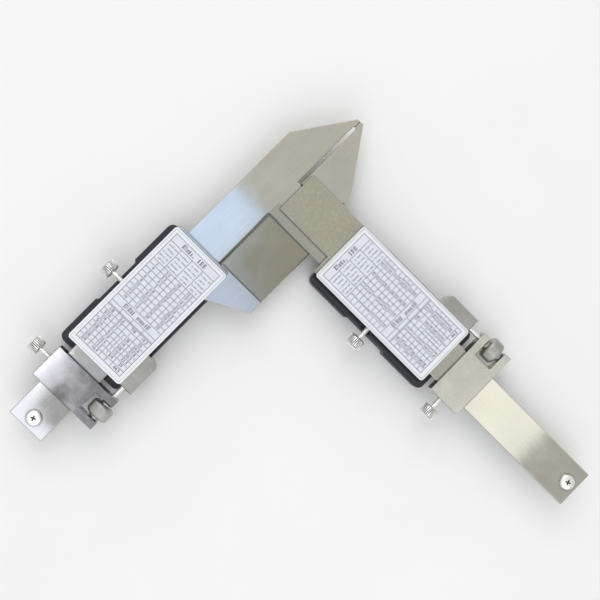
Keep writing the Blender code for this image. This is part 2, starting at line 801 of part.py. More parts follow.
def housing_outline():
    """The moulded outline, stepped in beside the lock screw."""
    lock = -HOUSING_LOCK
    bay = lock + LOCK_BAY_DEPTH
    return rounded(
        [
            (0, lock, HOUSING_CORNER),
            (LOCK_BAY_START, lock, 0),
            (LOCK_BAY_START + LOCK_BAY_RAMP, bay, 0),
            (LOCK_BAY_END - LOCK_BAY_RAMP, bay, 0),
            (LOCK_BAY_END, lock, 0),
            (HOUSING_END, lock, HOUSING_CORNER),
            (HOUSING_END, HOUSING_NUT, HOUSING_CORNER),
            (0, HOUSING_NUT, HOUSING_CORNER),
        ]
    )


def rim_outlines():
    """The low walls beside the slider: one hooked round its tail, one before the lug."""
    inner = -(SLIDER_LOCK + RIM_GAP)
    outer = inner - RIM_WALL
    hook = RIM_END - RIM_WALL
    lock = rounded(
        [
            (RIM_START, outer, 0),
            (RIM_END, outer, RIM_CORNER),
            (RIM_END, -BEAM_HALF - RIM_HOOK, 0),
            (hook, -BEAM_HALF - RIM_HOOK, 0),
            (hook, inner, 0),
            (RIM_START, inner, 0),
        ]
    )
    near = SLIDER_NUT + RIM_GAP
    nut = rectangle(ARM_END + SEAT_GAP, LUG_START - SEAT_GAP, near, near + RIM_NUT_WALL)
    return {"rim_lock": lock, "rim_nut": nut}


def button_places():
    return [BUTTON_FIRST + i * BUTTON_PITCH for i in range(3)]


def housing_bays():
    """The inner bays as (low, high) corners: board, display, one per key, and battery."""
    board_floor = BOARD_LOW - SEAT_GAP
    open_top = HOUSING_HEIGHT + CUT_MARGIN
    panel_side = LCD_WIDTH / 2 + LCD_BORDER
    key_side = BUTTON_RADIUS + BUTTON_FLANGE + SEAT_GAP
    battery_side = DOOR_HALF + DOOR_RAIL + SEAT_GAP
    bays = {
        "board_bay": (
            (MOUTH_START, MOUTH_INSET - SLIDER_LOCK, board_floor),
            (MOUTH_END, SLIDER_NUT - MOUTH_INSET, open_top),
        ),
        "display_bay": (
            (LCD_START - LCD_BORDER, LCD_CENTRE - panel_side, HOUSING_FACE),
            (LCD_END + LCD_BORDER, LCD_CENTRE + panel_side, board_floor + SEAT_GAP),
        ),
        "battery_bay": (
            (BATTERY_PLACE - BATTERY_RADIUS - BATTERY_SIDE, -battery_side, HOUSING_FACE),
            (HOUSING_END - HOUSING_WALL, battery_side, HOUSING_HEIGHT - HOUSING_ROOF),
        ),
    }
    half_key = (BUTTON_PITCH - BUTTON_RIB) / 2
    for i, x in enumerate(button_places()):
        bays[f"key_bay_{i + 1}"] = (
            (x - half_key, BUTTON_ROW - key_side, HOUSING_FACE),
            (x + half_key, BUTTON_ROW + key_side, board_floor + SEAT_GAP),
        )
    return bays


def make_housing(prefix, head):
    """The moulded display case: bays open to the slider, lens rebate, key holes, door way."""
    name = f"{prefix}_display_housing"
    housing = place(
        name, plate_mesh(name, housing_outline(), 0, HOUSING_HEIGHT), PLASTIC, head
    )
    soften(housing, HOUSING_EDGE_BREAK, 60)
    rim_top = HOUSING_HEIGHT + RIM_RISE
    for label, outline in rim_outlines().items():
        wall = plate_mesh(f"{name}_{label}", outline, HOUSING_HEIGHT - HOUSING_EDGE_BREAK, rim_top)
        join_mesh(housing, f"{name}_{label}", wall)
    cut_box(
        housing,
        f"{name}_rim_notch",
        (HEAD_LOCK_PLACE - RIM_NOTCH / 2, -HOUSING_LOCK, HOUSING_HEIGHT),
        (HEAD_LOCK_PLACE + RIM_NOTCH / 2, -SLIDER_LOCK, rim_top + CUT_MARGIN),
    )
    for label, (low, high) in housing_bays().items():
        cut_box(housing, f"{name}_{label}", low, high)
    y0, y1 = LCD_CENTRE - LCD_WIDTH / 2, LCD_CENTRE + LCD_WIDTH / 2
    lens = rectangle(LCD_START, LCD_END, y0, y1, LENS_CORNER)
    rebate = plate_mesh(f"{name}_lens_rebate", lens, -CUT_MARGIN, LENS_REBATE)
    cut_mesh(housing, f"{name}_lens_rebate", rebate)
    cut_box(
        housing,
        f"{name}_lens_opening",
        (LCD_START + LENS_LIP, y0 + LENS_LIP, 0),
        (LCD_END - LENS_LIP, y1 - LENS_LIP, HOUSING_FACE + CUT_MARGIN / 2),
    )
    for i, x in enumerate(button_places()):
        cut_bore(
            housing,
            f"{name}_button_hole_{i + 1}",
            BUTTON_RADIUS + SEAT_GAP,
            (x, BUTTON_ROW, -CUT_MARGIN),
            (x, BUTTON_ROW, HOUSING_FACE + CUT_MARGIN / 2),
        )
    door_start = HOUSING_END - DOOR_LENGTH - SEAT_GAP
    wide = DOOR_HALF + DOOR_RAIL + SEAT_GAP
    narrow = DOOR_HALF + SEAT_GAP
    inner = HOUSING_FACE + CUT_MARGIN / 2
    for label, half, low in (("mouth", narrow, -CUT_MARGIN), ("rails", wide, RAIL_LEDGE)):
        cut_box(
            housing,
            f"{name}_door_{label}",
            (door_start, -half, low),
            (HOUSING_END + CUT_MARGIN, half, inner),
        )


def make_display(prefix, head):
    """Lens, display glass, rubber connector and the board with its sensor block."""
    x0, x1 = LCD_START + SEAT_GAP, LCD_END - SEAT_GAP
    y0 = LCD_CENTRE - LCD_WIDTH / 2 + SEAT_GAP
    y1 = LCD_CENTRE + LCD_WIDTH / 2 - SEAT_GAP
    lens_low = LENS_REBATE - SEAT_GAP - LENS_THICKNESS
    name = f"{prefix}_display_lens"
    outline = rectangle(x0, x1, y0, y1, LENS_CORNER - SEAT_GAP)
    lens = plate_mesh(name, outline, lens_low, lens_low + LENS_THICKNESS)
    place(name, lens, LENS, head)
    name = f"{prefix}_lcd_panel"
    border = LCD_BORDER - 2 * SEAT_GAP
    lcd_low = HOUSING_FACE + SEAT_GAP
    lcd_high = lcd_low + LCD_THICKNESS
    panel = box_mesh(
        name, (x0 - border, y0 - border, lcd_low), (x1 + border, y1 + border, lcd_high)
    )
    soften(place(name, panel, LCD, head), GLASS_EDGE_BREAK)
    name = f"{prefix}_display_connector"
    strip = box_mesh(
        name,
        (WINDOW_START + CONNECTOR_INSET, y0, lcd_high + SEAT_GAP),
        (x1 - CONNECTOR_INSET, y0 + CONNECTOR_WIDTH, BOARD_LOW - SEAT_GAP),
    )
    place(name, strip, RUBBER, head)
    name = f"{prefix}_circuit_board"
    edge = MOUTH_INSET + SEAT_GAP
    board = box_mesh(
        name,
        (MOUTH_START + SEAT_GAP, edge - SLIDER_LOCK, BOARD_LOW),
        (BOARD_END, SLIDER_NUT - edge, BOARD_HIGH),
    )
    board = place(name, board, BOARD, head)
    sensor = box_mesh(
        f"{name}_sensor",
        (WINDOW_START + SEAT_GAP, SEAT_GAP - WINDOW_HALF, BOARD_LOW + BOARD_THICKNESS / 2),
        (BOARD_END - SEAT_GAP, WINDOW_HALF - SEAT_GAP, SENSOR_HIGH),
    )
    join_mesh(board, f"{name}_sensor", sensor)


def make_buttons(prefix, head):
    """Three moulded keys, each a crowned cap on a flange with a stem to the board."""
    low = SEAT_GAP
    flange_low = HOUSING_FACE + SEAT_GAP
    flange_high = flange_low + 0.8 * MM
    stem_high = BOARD_LOW - BUTTON_TRAVEL - BUTTON_REST_GAP
    profile = [
        (0.0, stem_high),
        (BUTTON_STEM, stem_high),
        (BUTTON_STEM, flange_high),
        (BUTTON_RADIUS + BUTTON_FLANGE, flange_high),
        (BUTTON_RADIUS + BUTTON_FLANGE, flange_low),
        (BUTTON_RADIUS, flange_low),
        (BUTTON_RADIUS, low + 0.35 * MM),
        (BUTTON_RADIUS - 0.45 * MM, low),
        (0.0, low),
    ]
    for i, x in enumerate(button_places()):
        name = f"{prefix}_button_{i + 1}"
        mesh = turned_mesh(name, profile, (0, 0, 1), 20)
        place(name, mesh, BUTTON, head, (x, BUTTON_ROW, 0))


def make_battery(prefix, head):
    """Button cell, its spring contact and the sliding door with side rails."""
    low = HOUSING_FACE
    edge = 0.4 * MM
    profile = [
        (0.0, low + BATTERY_HEIGHT),
        (BATTERY_RADIUS - 2 * edge, low + BATTERY_HEIGHT),
        (BATTERY_RADIUS - 1.5 * edge, low + BATTERY_HEIGHT - edge),
        (BATTERY_RADIUS, low + BATTERY_HEIGHT - edge),
        (BATTERY_RADIUS, low + edge),
        (BATTERY_RADIUS - edge, low),
        (0.0, low),
    ]
    name = f"{prefix}_battery"
    place(name, turned_mesh(name, profile, (0, 0, 1)), CELL, head, (BATTERY_PLACE, 0, 0))
    name = f"{prefix}_battery_contact"
    leaf_low = low + BATTERY_HEIGHT + SEAT_GAP
    leaf = box_mesh(
        name,
        (BOARD_END + SEAT_GAP, -CONTACT_HALF, leaf_low),
        (MOUTH_END - SEAT_GAP, CONTACT_HALF, leaf_low + CONTACT_THICKNESS),
    )
    place(name, leaf, BRASS, head)
    name = f"{prefix}_battery_door"
    start = HOUSING_END - DOOR_LENGTH
    door = place(
        name,
        box_mesh(
            name,
            (start, -DOOR_HALF, SEAT_GAP),
            (HOUSING_END - SEAT_GAP, DOOR_HALF, HOUSING_FACE - SEAT_GAP),
        ),
        PLASTIC,
        head,
    )
    rail = DOOR_HALF + DOOR_RAIL
    rails = box_mesh(
        f"{name}_rails",
        (start, -rail, RAIL_LEDGE + SLIDE_GAP),
        (HOUSING_END - SEAT_GAP, rail, HOUSING_FACE - SEAT_GAP),
    )
    join_mesh(door, f"{name}_rails", rails)
    for i in range(3):
        x = start + 2.0 * MM + i * 1.2 * MM
        cut_box(
            door,
            f"{name}_grip_{i + 1}",
            (x, -3.0 * MM, -CUT_MARGIN),
            (x + 0.5 * MM, 3.0 * MM, SEAT_GAP + 0.25 * MM),
        )


def make_gib(prefix, head):
    """The brass gib strip beside the beam and the two grub screws that set it."""
    name = f"{prefix}_gib"
    strip = box_mesh(
        name,
        (GIB_INSET, -GIB_FACE - GIB_THICKNESS, GIB_LOW),
        (SLIDER_TAIL - GIB_INSET, -GIB_FACE, GIB_HIGH),
    )
    place(name, strip, BRASS, head)
    inner = TUNNEL_LOCK
    outer = SLIDER_LOCK - GIB_SCREW_SUNK
    deep = outer - 1.4 * GIB_SCREW_SOCKET
    profile = [
        (0.0, deep),
        (GIB_SCREW_SOCKET, deep),
        (GIB_SCREW_SOCKET, outer),
        (GIB_SCREW_RADIUS, outer),
        (GIB_SCREW_RADIUS, inner),
        (0.0, inner),
    ]
    for i, x in enumerate(gib_screw_places()):
        name = f"{prefix}_gib_screw_{i + 1}"
        place(
            name,
            turned_mesh(name, profile, (0, -1, 0), 16),
            BRIGHT,
            head,
            (x, 0, AXIS_HEIGHT),
        )


def lock_screw_mesh(name, inner, knob_foot):
    """A knurled thumb screw from its tip on the gib to its chamfered head."""
    end = knob_foot + KNOB_LENGTH
    neck = KNOB_RADIUS - KNOB_CHAMFER
    profile = [
        (0.0, end),
        (neck, end),
        (KNOB_RADIUS, end - KNOB_CHAMFER),
        (KNOB_RADIUS, knob_foot + KNOB_CHAMFER),
        (neck, knob_foot),
        (SHANK_RADIUS, knob_foot),
        (SHANK_RADIUS, inner),
        (0.0, inner),
    ]
    knurl = (neck + 0.2 * MM, KNURL_DEPTH)
    return turned_mesh(name, profile, (0, -1, 0), 2 * KNOB_TEETH, knurl)


def make_carriage(prefix, head):
    """The fine adjustment carriage, with its nut fork, gib and clamp screw."""
    name = f"{prefix}_carriage"
    outline = rounded(
        [
            (CARRIAGE_START, -CARRIAGE_LOCK, 0),
            (CARRIAGE_END, -CARRIAGE_LOCK, 0),
            (CARRIAGE_END, FORK_TIP, 0),
            (CARRIAGE_END - FORK_ARM, FORK_TIP, 0),
            (CARRIAGE_END - FORK_ARM, FORK_BED, 0),
            (CARRIAGE_START + FORK_ARM, FORK_BED, 0),
            (CARRIAGE_START + FORK_ARM, FORK_TIP, 0),
            (CARRIAGE_START, FORK_TIP, 0),
        ]
    )
    low = FRONT_HIGH - CARRIAGE_PLATE
    high = BACK_LOW + CARRIAGE_PLATE
    carriage = place(name, plate_mesh(name, outline, low, high), SATIN, head)
    soften(carriage)
    cut_box(
        carriage,
        f"{name}_tunnel",
        (CARRIAGE_START - CUT_MARGIN, -CARRIAGE_TUNNEL_LOCK, FRONT_HIGH),
        (CARRIAGE_END + CUT_MARGIN, TUNNEL_NUT, BACK_LOW),
    )
    cut_bore(
        carriage,
        f"{name}_spindle_hole",
        SPINDLE_RADIUS + SEAT_GAP,
        (CARRIAGE_START - CUT_MARGIN, SPINDLE_LINE, AXIS_HEIGHT),
        (CARRIAGE_END + CUT_MARGIN, SPINDLE_LINE, AXIS_HEIGHT),
        16,
    )
    cut_bore(
        carriage,
        f"{name}_lock_hole",
        SHANK_RADIUS + SEAT_GAP,
        (CARRIAGE_LOCK_PLACE, -CARRIAGE_LOCK - CUT_MARGIN, AXIS_HEIGHT),
        (CARRIAGE_LOCK_PLACE, -CARRIAGE_TUNNEL_LOCK + CUT_MARGIN / 2, AXIS_HEIGHT),
        16,
    )
    name = f"{prefix}_carriage_gib"
    strip = box_mesh(
        name,
        (CARRIAGE_START + CARRIAGE_GIB_INSET, -GIB_FACE - CARRIAGE_GIB, GIB_LOW),
        (CARRIAGE_END - CARRIAGE_GIB_INSET, -GIB_FACE, GIB_HIGH),
    )
    place(name, strip, BRASS, head)
    name = f"{prefix}_carriage_lock_screw"
    place(
        name,
        lock_screw_mesh(name, CARRIAGE_TUNNEL_LOCK, CARRIAGE_LOCK_END),
        BRIGHT,
        head,
        (CARRIAGE_LOCK_PLACE, 0, AXIS_HEIGHT),
    )


def make_fine_adjustment(prefix, head):
    """The fixed spindle and the knurled roller nut that runs on it in the fork."""
    name = f"{prefix}_adjust_spindle"
    start = COVER_LENGTH - SPINDLE_SEAT
    end = CARRIAGE_END - SPINDLE_SHY
    tip = 0.3 * MM
    profile = [
        (0.0, end),
        (SPINDLE_RADIUS - tip, end),
        (SPINDLE_RADIUS, end - tip),
        (SPINDLE_RADIUS, start),
        (0.0, start),
    ]
    place(
        name,
        turned_mesh(name, profile, (1, 0, 0), 16),
        BRIGHT,
        head,
        (0, SPINDLE_LINE, AXIS_HEIGHT),
    )
    name = f"{prefix}_adjust_nut"
    half = NUT_WIDTH / 2
    hub = CARRIAGE_LENGTH / 2 - FORK_ARM - SEAT_GAP
    bore = SPINDLE_RADIUS + SEAT_GAP
    chamfer = 0.6 * MM
    profile = [
        (bore, hub),
        (NUT_HUB_RADIUS, hub),
        (NUT_HUB_RADIUS, half),
        (NUT_RADIUS - chamfer, half),
        (NUT_RADIUS, half - chamfer),
        (NUT_RADIUS, chamfer - half),
        (NUT_RADIUS - chamfer, -half),
        (NUT_HUB_RADIUS, -half),
        (NUT_HUB_RADIUS, -hub),
        (bore, -hub),
    ]
    knurl = (NUT_RADIUS - chamfer + 0.2 * MM, KNURL_DEPTH)
    place(
        name,
        turned_mesh(name, profile, (1, 0, 0), 2 * NUT_TEETH, knurl),
        BRIGHT,
        head,
        (NUT_PLACE, SPINDLE_LINE, AXIS_HEIGHT),
    )


def make_head(prefix, head):
    """Everything that both sliders share."""
    make_cover(prefix, head)
    make_housing(prefix, head)
    make_display(prefix, head)
    make_buttons(prefix, head)
    make_battery(prefix, head)
    make_gib(prefix, head)
    name = f"{prefix}_lock_screw"
    place(
        name,
        lock_screw_mesh(name, TUNNEL_LOCK, HEAD_LOCK_END),
        BRIGHT,
        head,
        (HEAD_LOCK_PLACE, 0, AXIS_HEIGHT),
    )
    make_carriage(prefix, head)
    make_fine_adjustment(prefix, head)


clear_scene()
PARTS = new_collection("gear_tooth_caliper")
CUTTERS = new_collection("cutters")
ROOT = empty("caliper_root", (-MIDDLE_X, -MIDDLE_Y, 0), 0, None)
TONGUE_HEAD = empty(
    "tongue_head", (BEAM_HALF, -TONGUE_HEAD_DROP, 0), -math.pi / 2, ROOT
)
JAW_HEAD = empty("jaw_head", (BEAM_WIDTH + JAW_HEAD_SHIFT, BEAM_HALF, 0), 0, ROOT)
make_main_frame(ROOT)
make_scale_strips(ROOT)
make_stop_screws(ROOT)
make_tongue_frame(TONGUE_HEAD)
make_jaw_frame(JAW_HEAD)
make_head("tongue", TONGUE_HEAD)
make_head("jaw", JAW_HEAD)
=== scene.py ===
"""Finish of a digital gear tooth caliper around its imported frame.

Adds the printed tables on the back covers, the knurled and threaded pieces, the keys,
the display figures, the beam graduations, every material and the studio.
Each slider head has its own axes: x runs from the jaw end of the cover to the beam's
tail, y points to the roller nut, and z is up. Flat pieces are modelled in these axes and
turned ones about Z, and each is then moved to its place on both heads.
"""

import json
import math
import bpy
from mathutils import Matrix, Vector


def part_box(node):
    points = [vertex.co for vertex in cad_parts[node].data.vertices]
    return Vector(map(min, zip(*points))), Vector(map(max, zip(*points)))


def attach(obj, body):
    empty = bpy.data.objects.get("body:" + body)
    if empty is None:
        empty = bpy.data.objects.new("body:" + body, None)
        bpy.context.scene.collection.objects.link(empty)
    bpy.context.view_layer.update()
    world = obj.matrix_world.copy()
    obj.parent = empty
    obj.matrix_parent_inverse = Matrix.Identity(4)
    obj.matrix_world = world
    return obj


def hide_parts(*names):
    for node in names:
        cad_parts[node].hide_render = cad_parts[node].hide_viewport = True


bl_info = {
    "name": "Gear Tooth Caliper Finish",
    "version": (1, 0, 0),
    "blender": (4, 5, 0),
    "location": "3D View > Sidebar > Caliper",
    "description": "Labels, knurls, marks, materials and studio for a gear tooth caliper",
    "category": "Object",
}

import bmesh
import bpy
from bpy.props import FloatProperty, FloatVectorProperty, IntProperty, PointerProperty
from mathutils import Matrix, Vector

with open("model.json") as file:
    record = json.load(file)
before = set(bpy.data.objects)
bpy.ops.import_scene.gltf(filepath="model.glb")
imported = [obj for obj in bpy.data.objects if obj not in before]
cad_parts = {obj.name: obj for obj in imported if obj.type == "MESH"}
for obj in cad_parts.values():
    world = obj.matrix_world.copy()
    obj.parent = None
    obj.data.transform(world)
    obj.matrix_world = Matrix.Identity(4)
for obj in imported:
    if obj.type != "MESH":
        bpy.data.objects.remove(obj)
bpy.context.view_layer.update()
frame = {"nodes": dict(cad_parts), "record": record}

MM = 0.001
INCH = 25.4 * MM
HEADS = ("jaw", "tongue")
TO_TAIL = (1, 0, 0)
TO_KNOBS = (0, -1, 0)
QUARTER_TURN = math.pi / 2
QUARTER_STEPS = 6
COLUMNS_PER_RIDGE = 4
UPRIGHT = 0.99


def length_property(name, description, default):
    return FloatProperty(
        name=name, description=description, default=default, min=0.0, unit="LENGTH", precision=5
    )


def colour_property(name, description, default):
    return FloatVectorProperty(
        name=name,
        description=description,
        default=default,
        size=3,
        min=0.0,
        max=1.0,
        subtype="COLOR",
    )


class TableSettings(bpy.types.PropertyGroup):
    """Sizes and colours of the printed table on each back cover."""

    sheet_inset: length_property("Sheet inset", "From the cover's edge to the sheet", 0.75 * MM)
    sheet_height: length_property("Sheet thickness", "Thickness of the sheet", 0.12 * MM)
    sheet_corner: length_property("Sheet corner", "Corner radius of the sheet", 0.6 * MM)
    # Painted shadow: a grey band round the sheet's top face, for the shadow of the cover's recess
    # edge.
    outline_width: length_property("Outline width", "Grey line round the sheet", 0.13 * MM)
    frame_inset: length_property("Frame inset", "From the cover's edge to the grid", 2.1 * MM)
    line_width: length_property("Line width", "Width of the grid lines", 0.19 * MM)
    ink_height: length_property("Ink height", "How proud the ink stands", 0.01 * MM)
    figure_size: length_property("Figure size", "Size of the table's figures", 1.75 * MM)
    figure_weight: length_property("Figure weight", "How bold the figures are", 0.03 * MM)
    paper: colour_property("Paper", "Colour of the sheet's border", (0.80, 0.82, 0.87))
    tint: colour_property("Tint", "Colour inside the grid", (0.72, 0.745, 0.83))
    ink: colour_property("Ink", "Colour of the lines and figures", (0.085, 0.085, 0.115))


class KnurlSettings(bpy.types.PropertyGroup):
    """Sizes of the knurled and threaded pieces."""

    knob_length: length_property("Knob length", "Length of a lock screw's head", 4.4 * MM)
    knob_ridges: IntProperty(
        name="Knob ridges", description="Ridges round a lock screw", default=28, min=8
    )
    knob_groove: length_property("Knob groove", "Depth of a lock screw's grooves", 0.24 * MM)
    nut_ridges: IntProperty(
        name="Nut ridges", description="Ridges round a roller nut", default=44, min=8
    )
    nut_groove: length_property("Nut groove", "Depth of a roller nut's grooves", 0.09 * MM)
    thread_pitch: length_property("Thread pitch", "Pitch of the fine threads", 0.5 * MM)
    thread_depth: length_property("Thread depth", "Depth of the fine threads", 0.14 * MM)


class DisplaySettings(bpy.types.PropertyGroup):
    """Sizes of the figures in the displays and of the print beside the keys."""

    digit_height: length_property("Digit height", "Height of a display figure", 7.6 * MM)
    digit_width: length_property("Digit width", "Width of a display figure", 3.9 * MM)
    digit_pitch: length_property("Digit pitch", "From one figure to the next", 5.4 * MM)
    stroke: length_property("Stroke", "Width of a figure's bars", 0.75 * MM)
    key_print: length_property("Key print", "Size of the print beside the keys", 1.5 * MM)


class ScaleSettings(bpy.types.PropertyGroup):
    """Sizes of the graduations on the beams' front faces."""

    line_width: length_property("Line width", "Width of a graduation", 0.14 * MM)
    short_line: length_property("Short line", "Length of a one millimetre line", 1.6 * MM)
    middle_line: length_property("Middle line", "Length of a five millimetre line", 2.2 * MM)
    long_line: length_property("Long line", "Length of a ten millimetre line", 2.8 * MM)
    figure_size: length_property("Figure size", "Size of the scale's figures", 1.9 * MM)


class FinishSettings(bpy.types.PropertyGroup):
    """Colours of the metals, plastics and small pieces."""

    beam_steel: colour_property("Beam steel", "Ground beams and fixed jaw", (0.65, 0.638, 0.575))
    tail_steel: colour_property("Tail steel", "Tooth beam's tail", (0.56, 0.56, 0.565))
    plate_steel: colour_property("Plate steel", "Back plates of the sliders", (0.56, 0.56, 0.53))
    jaw_plate_steel: colour_property("Jaw plate steel", "Jaw's plate", (0.54, 0.525, 0.435))
    jaw_steel: colour_property("Jaw steel", "Movable jaw and tongue arm", (0.63, 0.62, 0.56))
    # Painted shade and reflection: the tongue blade, which lies lower than the beam, gets a
    # darker, warmer copy of the steel.
    blade_steel: colour_property("Blade steel", "Face of the tongue blade", (0.425, 0.405, 0.315))
    carriage_steel: colour_property("Carriage steel", "Clamp carriages", (0.63, 0.63, 0.575))
    # Painted shade: a darker copy of the carriage steel, for the tongue's carriage.
    dull_steel: colour_property("Dull steel", "The duller carriage", (0.335, 0.33, 0.35))
    knob_steel: colour_property("Knob steel", "Knobs and screws", (0.95, 0.95, 0.94))
    nut_steel: colour_property("Nut steel", "Roller nuts", (0.50, 0.495, 0.485))
    aluminium: colour_property("Aluminium", "Back covers", (0.86, 0.87, 0.89))
    plastic: colour_property("Plastic", "Display housings and doors", (0.018, 0.019, 0.028))
    key_rubber: colour_property("Key rubber", "Keys", (0.16, 0.17, 0.19))
    print_white: colour_property("White print", "Marks on black", (0.72, 0.73, 0.74))


class StudioSettings(bpy.types.PropertyGroup):
    """Camera, lamps and floor."""

    camera_place: FloatVectorProperty(
        name="Camera place",
        description="Where the camera stands",
        default=(-0.06347, 0.00403, 0.41255),
        subtype="TRANSLATION",
        unit="LENGTH",
    )
    camera_turn: FloatVectorProperty(
        name="Camera turn",
        description="How the camera is turned",
        default=tuple(math.radians(angle) for angle in (-1.345, -4.739, 44.841)),
        subtype="EULER",
        unit="ROTATION",
    )
    camera_lens: FloatProperty(
        name="Lens", description="Focal length in millimetres", default=63.53, unit="CAMERA"
    )
    floor: colour_property("Floor", "Colour of the floor", (0.90, 0.90, 0.91))
    room: colour_property("Room", "Colour of the even light", (1.0, 0.995, 0.965))
    room_level: FloatProperty(
        name="Room level", description="Strength of the even light", default=0.62, min=0.0
    )


SETTINGS = {
    "caliper_table": TableSettings,
    "caliper_knurl": KnurlSettings,
    "caliper_display": DisplaySettings,
    "caliper_scale": ScaleSettings,
    "caliper_finish": FinishSettings,
    "caliper_studio": StudioSettings,
}


# Axes of the heads


def head_matrix(prefix):
    """From a head's own axes to the frame's."""
    low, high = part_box(f"{prefix}_back_cover")
    strip_low, strip_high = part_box(f"{prefix}_scale_strip")
    centre = (strip_low + strip_high) / 2
    if prefix == "jaw":
        return Matrix.Translation((low.x, centre.y, 0))
    turn = Matrix.Rotation(-QUARTER_TURN, 4, "Z")
    return Matrix.Translation((centre.x, high.y, 0)) @ turn


def head_way(prefix, way):
    """A direction of a head's axes, in the frame."""
    return head_matrix(prefix).to_3x3() @ Vector(way)


def local_box(prefix, part):
    """A node's lowest and highest corner in its head's axes."""
    back = head_matrix(prefix).inverted()
    corners = [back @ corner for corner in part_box(f"{prefix}_{part}")]
    low = Vector([min(corner[i] for corner in corners) for i in range(3)])
    high = Vector([max(corner[i] for corner in corners) for i in range(3)])
    return low, high


# Modelling by hand


def deselect():
    for obj in bpy.context.selected_objects:
        obj.select_set(False)


def select_only(obj):
    deselect()
    obj.select_set(True)
    bpy.context.view_layer.objects.active = obj


def name_new(name):
    """Names the object that was just added."""
    obj = bpy.context.object
    obj.name = name
    obj.data.name = name
    return obj


def bake_place(obj, matrix=None):
    """Puts the object's place into its mesh, so that the object sits at the origin."""
    bpy.context.view_layer.update()
    obj.data.transform((matrix or Matrix()) @ obj.matrix_world)
    obj.matrix_world = Matrix()
    return obj


def edit(obj):
    """Opens edit mode on this object alone, with nothing selected."""
    select_only(obj)
    bpy.ops.object.mode_set(mode="EDIT")
    bpy.ops.mesh.select_all(action="DESELECT")


def close_edit():
    bpy.ops.object.mode_set(mode="OBJECT")


def pick(obj, kind, test):
    """Selects the points, edges or faces of the open mesh that pass the test."""
    bpy.ops.mesh.select_mode(type={"verts": "VERT", "edges": "EDGE", "faces": "FACE"}[kind])
    bpy.ops.mesh.select_all(action="DESELECT")
    open_mesh = bmesh.from_edit_mesh(obj.data)
    for element in getattr(open_mesh, kind):
        if test(element):
            element.select_set(True)
    open_mesh.select_flush_mode()
    bmesh.update_edit_mesh(obj.data)


def points_out(obj):
    """Merges doubles and turns every face outwards."""
    edit(obj)
    bpy.ops.mesh.select_all(action="SELECT")
    bpy.ops.mesh.remove_doubles(threshold=1e-7)
    bpy.ops.mesh.normals_make_consistent(inside=False)
    close_edit()


def smooth(obj, angle):
    """Shades smooth across every edge below an angle in degrees."""
    select_only(obj)
    bpy.ops.object.shade_smooth_by_angle(angle=math.radians(angle))


def block(name, low, high):
    """A box between two corners, as a new object."""
    low, high = Vector(low), Vector(high)
    deselect()
    bpy.ops.mesh.primitive_cube_add(size=1, location=(low + high) / 2, scale=high - low)
    return bake_place(name_new(name))


def is_upright(edge):
    return abs((edge.verts[0].co - edge.verts[1].co).normalized().z) > UPRIGHT


def bevel_upright(obj, offset, segments):
    """Bevels the upright edges of a plate that is open in edit mode."""
    pick(obj, "edges", is_upright)
    bpy.ops.mesh.bevel(offset=offset, segments=segments, affect="EDGES")


def turned(name, sides, profile):
    """A piece turned about Z: each further (radius, height) is one more extrusion."""
    radius, height = profile[0]
    deselect()
    bpy.ops.mesh.primitive_circle_add(
        vertices=sides, radius=radius, fill_type="NGON", location=(0, 0, height)
    )
    obj = bake_place(name_new(name))
    edit(obj)
    pick(obj, "faces", lambda face: True)
    for next_radius, next_height in profile[1:]:
        bpy.ops.mesh.extrude_region_move()
        share = next_radius / radius
        if not math.isclose(share, 1, abs_tol=1e-6):
            bpy.ops.transform.resize(value=(share, share, 1), center_override=(0, 0, height))
        bpy.ops.transform.translate(value=(0, 0, next_height - height))
        radius, height = next_radius, next_height
    close_edit()
    points_out(obj)
    return obj


def knurl(obj, ridges, least, depth):
    """Sinks one of every four upright lines beyond a radius, and marks it as a groove, where the
    material paints shade.
    """
    step = 2 * math.pi / (COLUMNS_PER_RIDGE * ridges)

    def in_groove(vert):
        column = round(math.atan2(vert.co.y, vert.co.x) / step)
        return column % COLUMNS_PER_RIDGE == 0 and math.hypot(vert.co.x, vert.co.y) > least

    grooves = [vert.index for vert in obj.data.vertices if in_groove(vert)]
    widest = max(math.hypot(vert.co.x, vert.co.y) for vert in obj.data.vertices)
    edit(obj)
    pick(obj, "verts", in_groove)
    share = (widest - depth) / widest
    bpy.ops.transform.resize(value=(share, share, 1), center_override=(0, 0, 0))
    close_edit()
    mark = obj.data.attributes.new("groove", "FLOAT", "POINT")
    for index in grooves:
        mark.data[index].value = 1.0


def thread(radius, low, high, pitch, depth):
    """The (radius, height) steps of a fine thread: each turn has a crest and a root."""
    steps = []
    for i in range(int((high - low) / pitch)):
        foot = low + i * pitch
        steps += [(radius, foot + share * pitch) for share in (0.1, 0.35)]
        steps += [(radius - depth, foot + share * pitch) for share in (0.6, 0.85)]
    return steps


def cut(obj, cutter):
    """Cuts one piece with another, which is then removed."""
    modifier = obj.modifiers.new("cut", "BOOLEAN")
    modifier.operation = "DIFFERENCE"
    modifier.solver = "EXACT"
    modifier.object = cutter
    apply_modifier(obj, modifier)
    bpy.data.objects.remove(cutter, do_unlink=True)


def apply_modifier(obj, modifier):
    select_only(obj)
    bpy.ops.object.modifier_apply(modifier=modifier.name)


def join(name, pieces):
    """Joins pieces into one object."""
    deselect()
    for piece in pieces:
        piece.select_set(True)
    bpy.context.view_layer.objects.active = pieces[0]
    bpy.ops.object.join()
    return name_new(name)


def copy_of(obj, name, matrix):
    """A copy with its own mesh, put in another place."""
    copy = obj.copy()
    copy.data = obj.data.copy()
    copy.name = name
    copy.data.name = name
    copy.data.transform(matrix)
    bpy.context.scene.collection.objects.link(copy)
    return copy


def printed(name, text, size, matrix, weight=0.0):
    """Flat figures as a mesh, with the text's x and y axes turned by the matrix."""
    deselect()
    bpy.ops.object.text_add()
    obj = bpy.context.object
    obj.data.body = text
    obj.data.size = size
    obj.data.align_x = "CENTER"
    obj.data.align_y = "CENTER"
    obj.data.offset = weight
    obj.data.resolution_u = 2
    bpy.ops.object.convert(target="MESH")
    return bake_place(name_new(name), matrix)


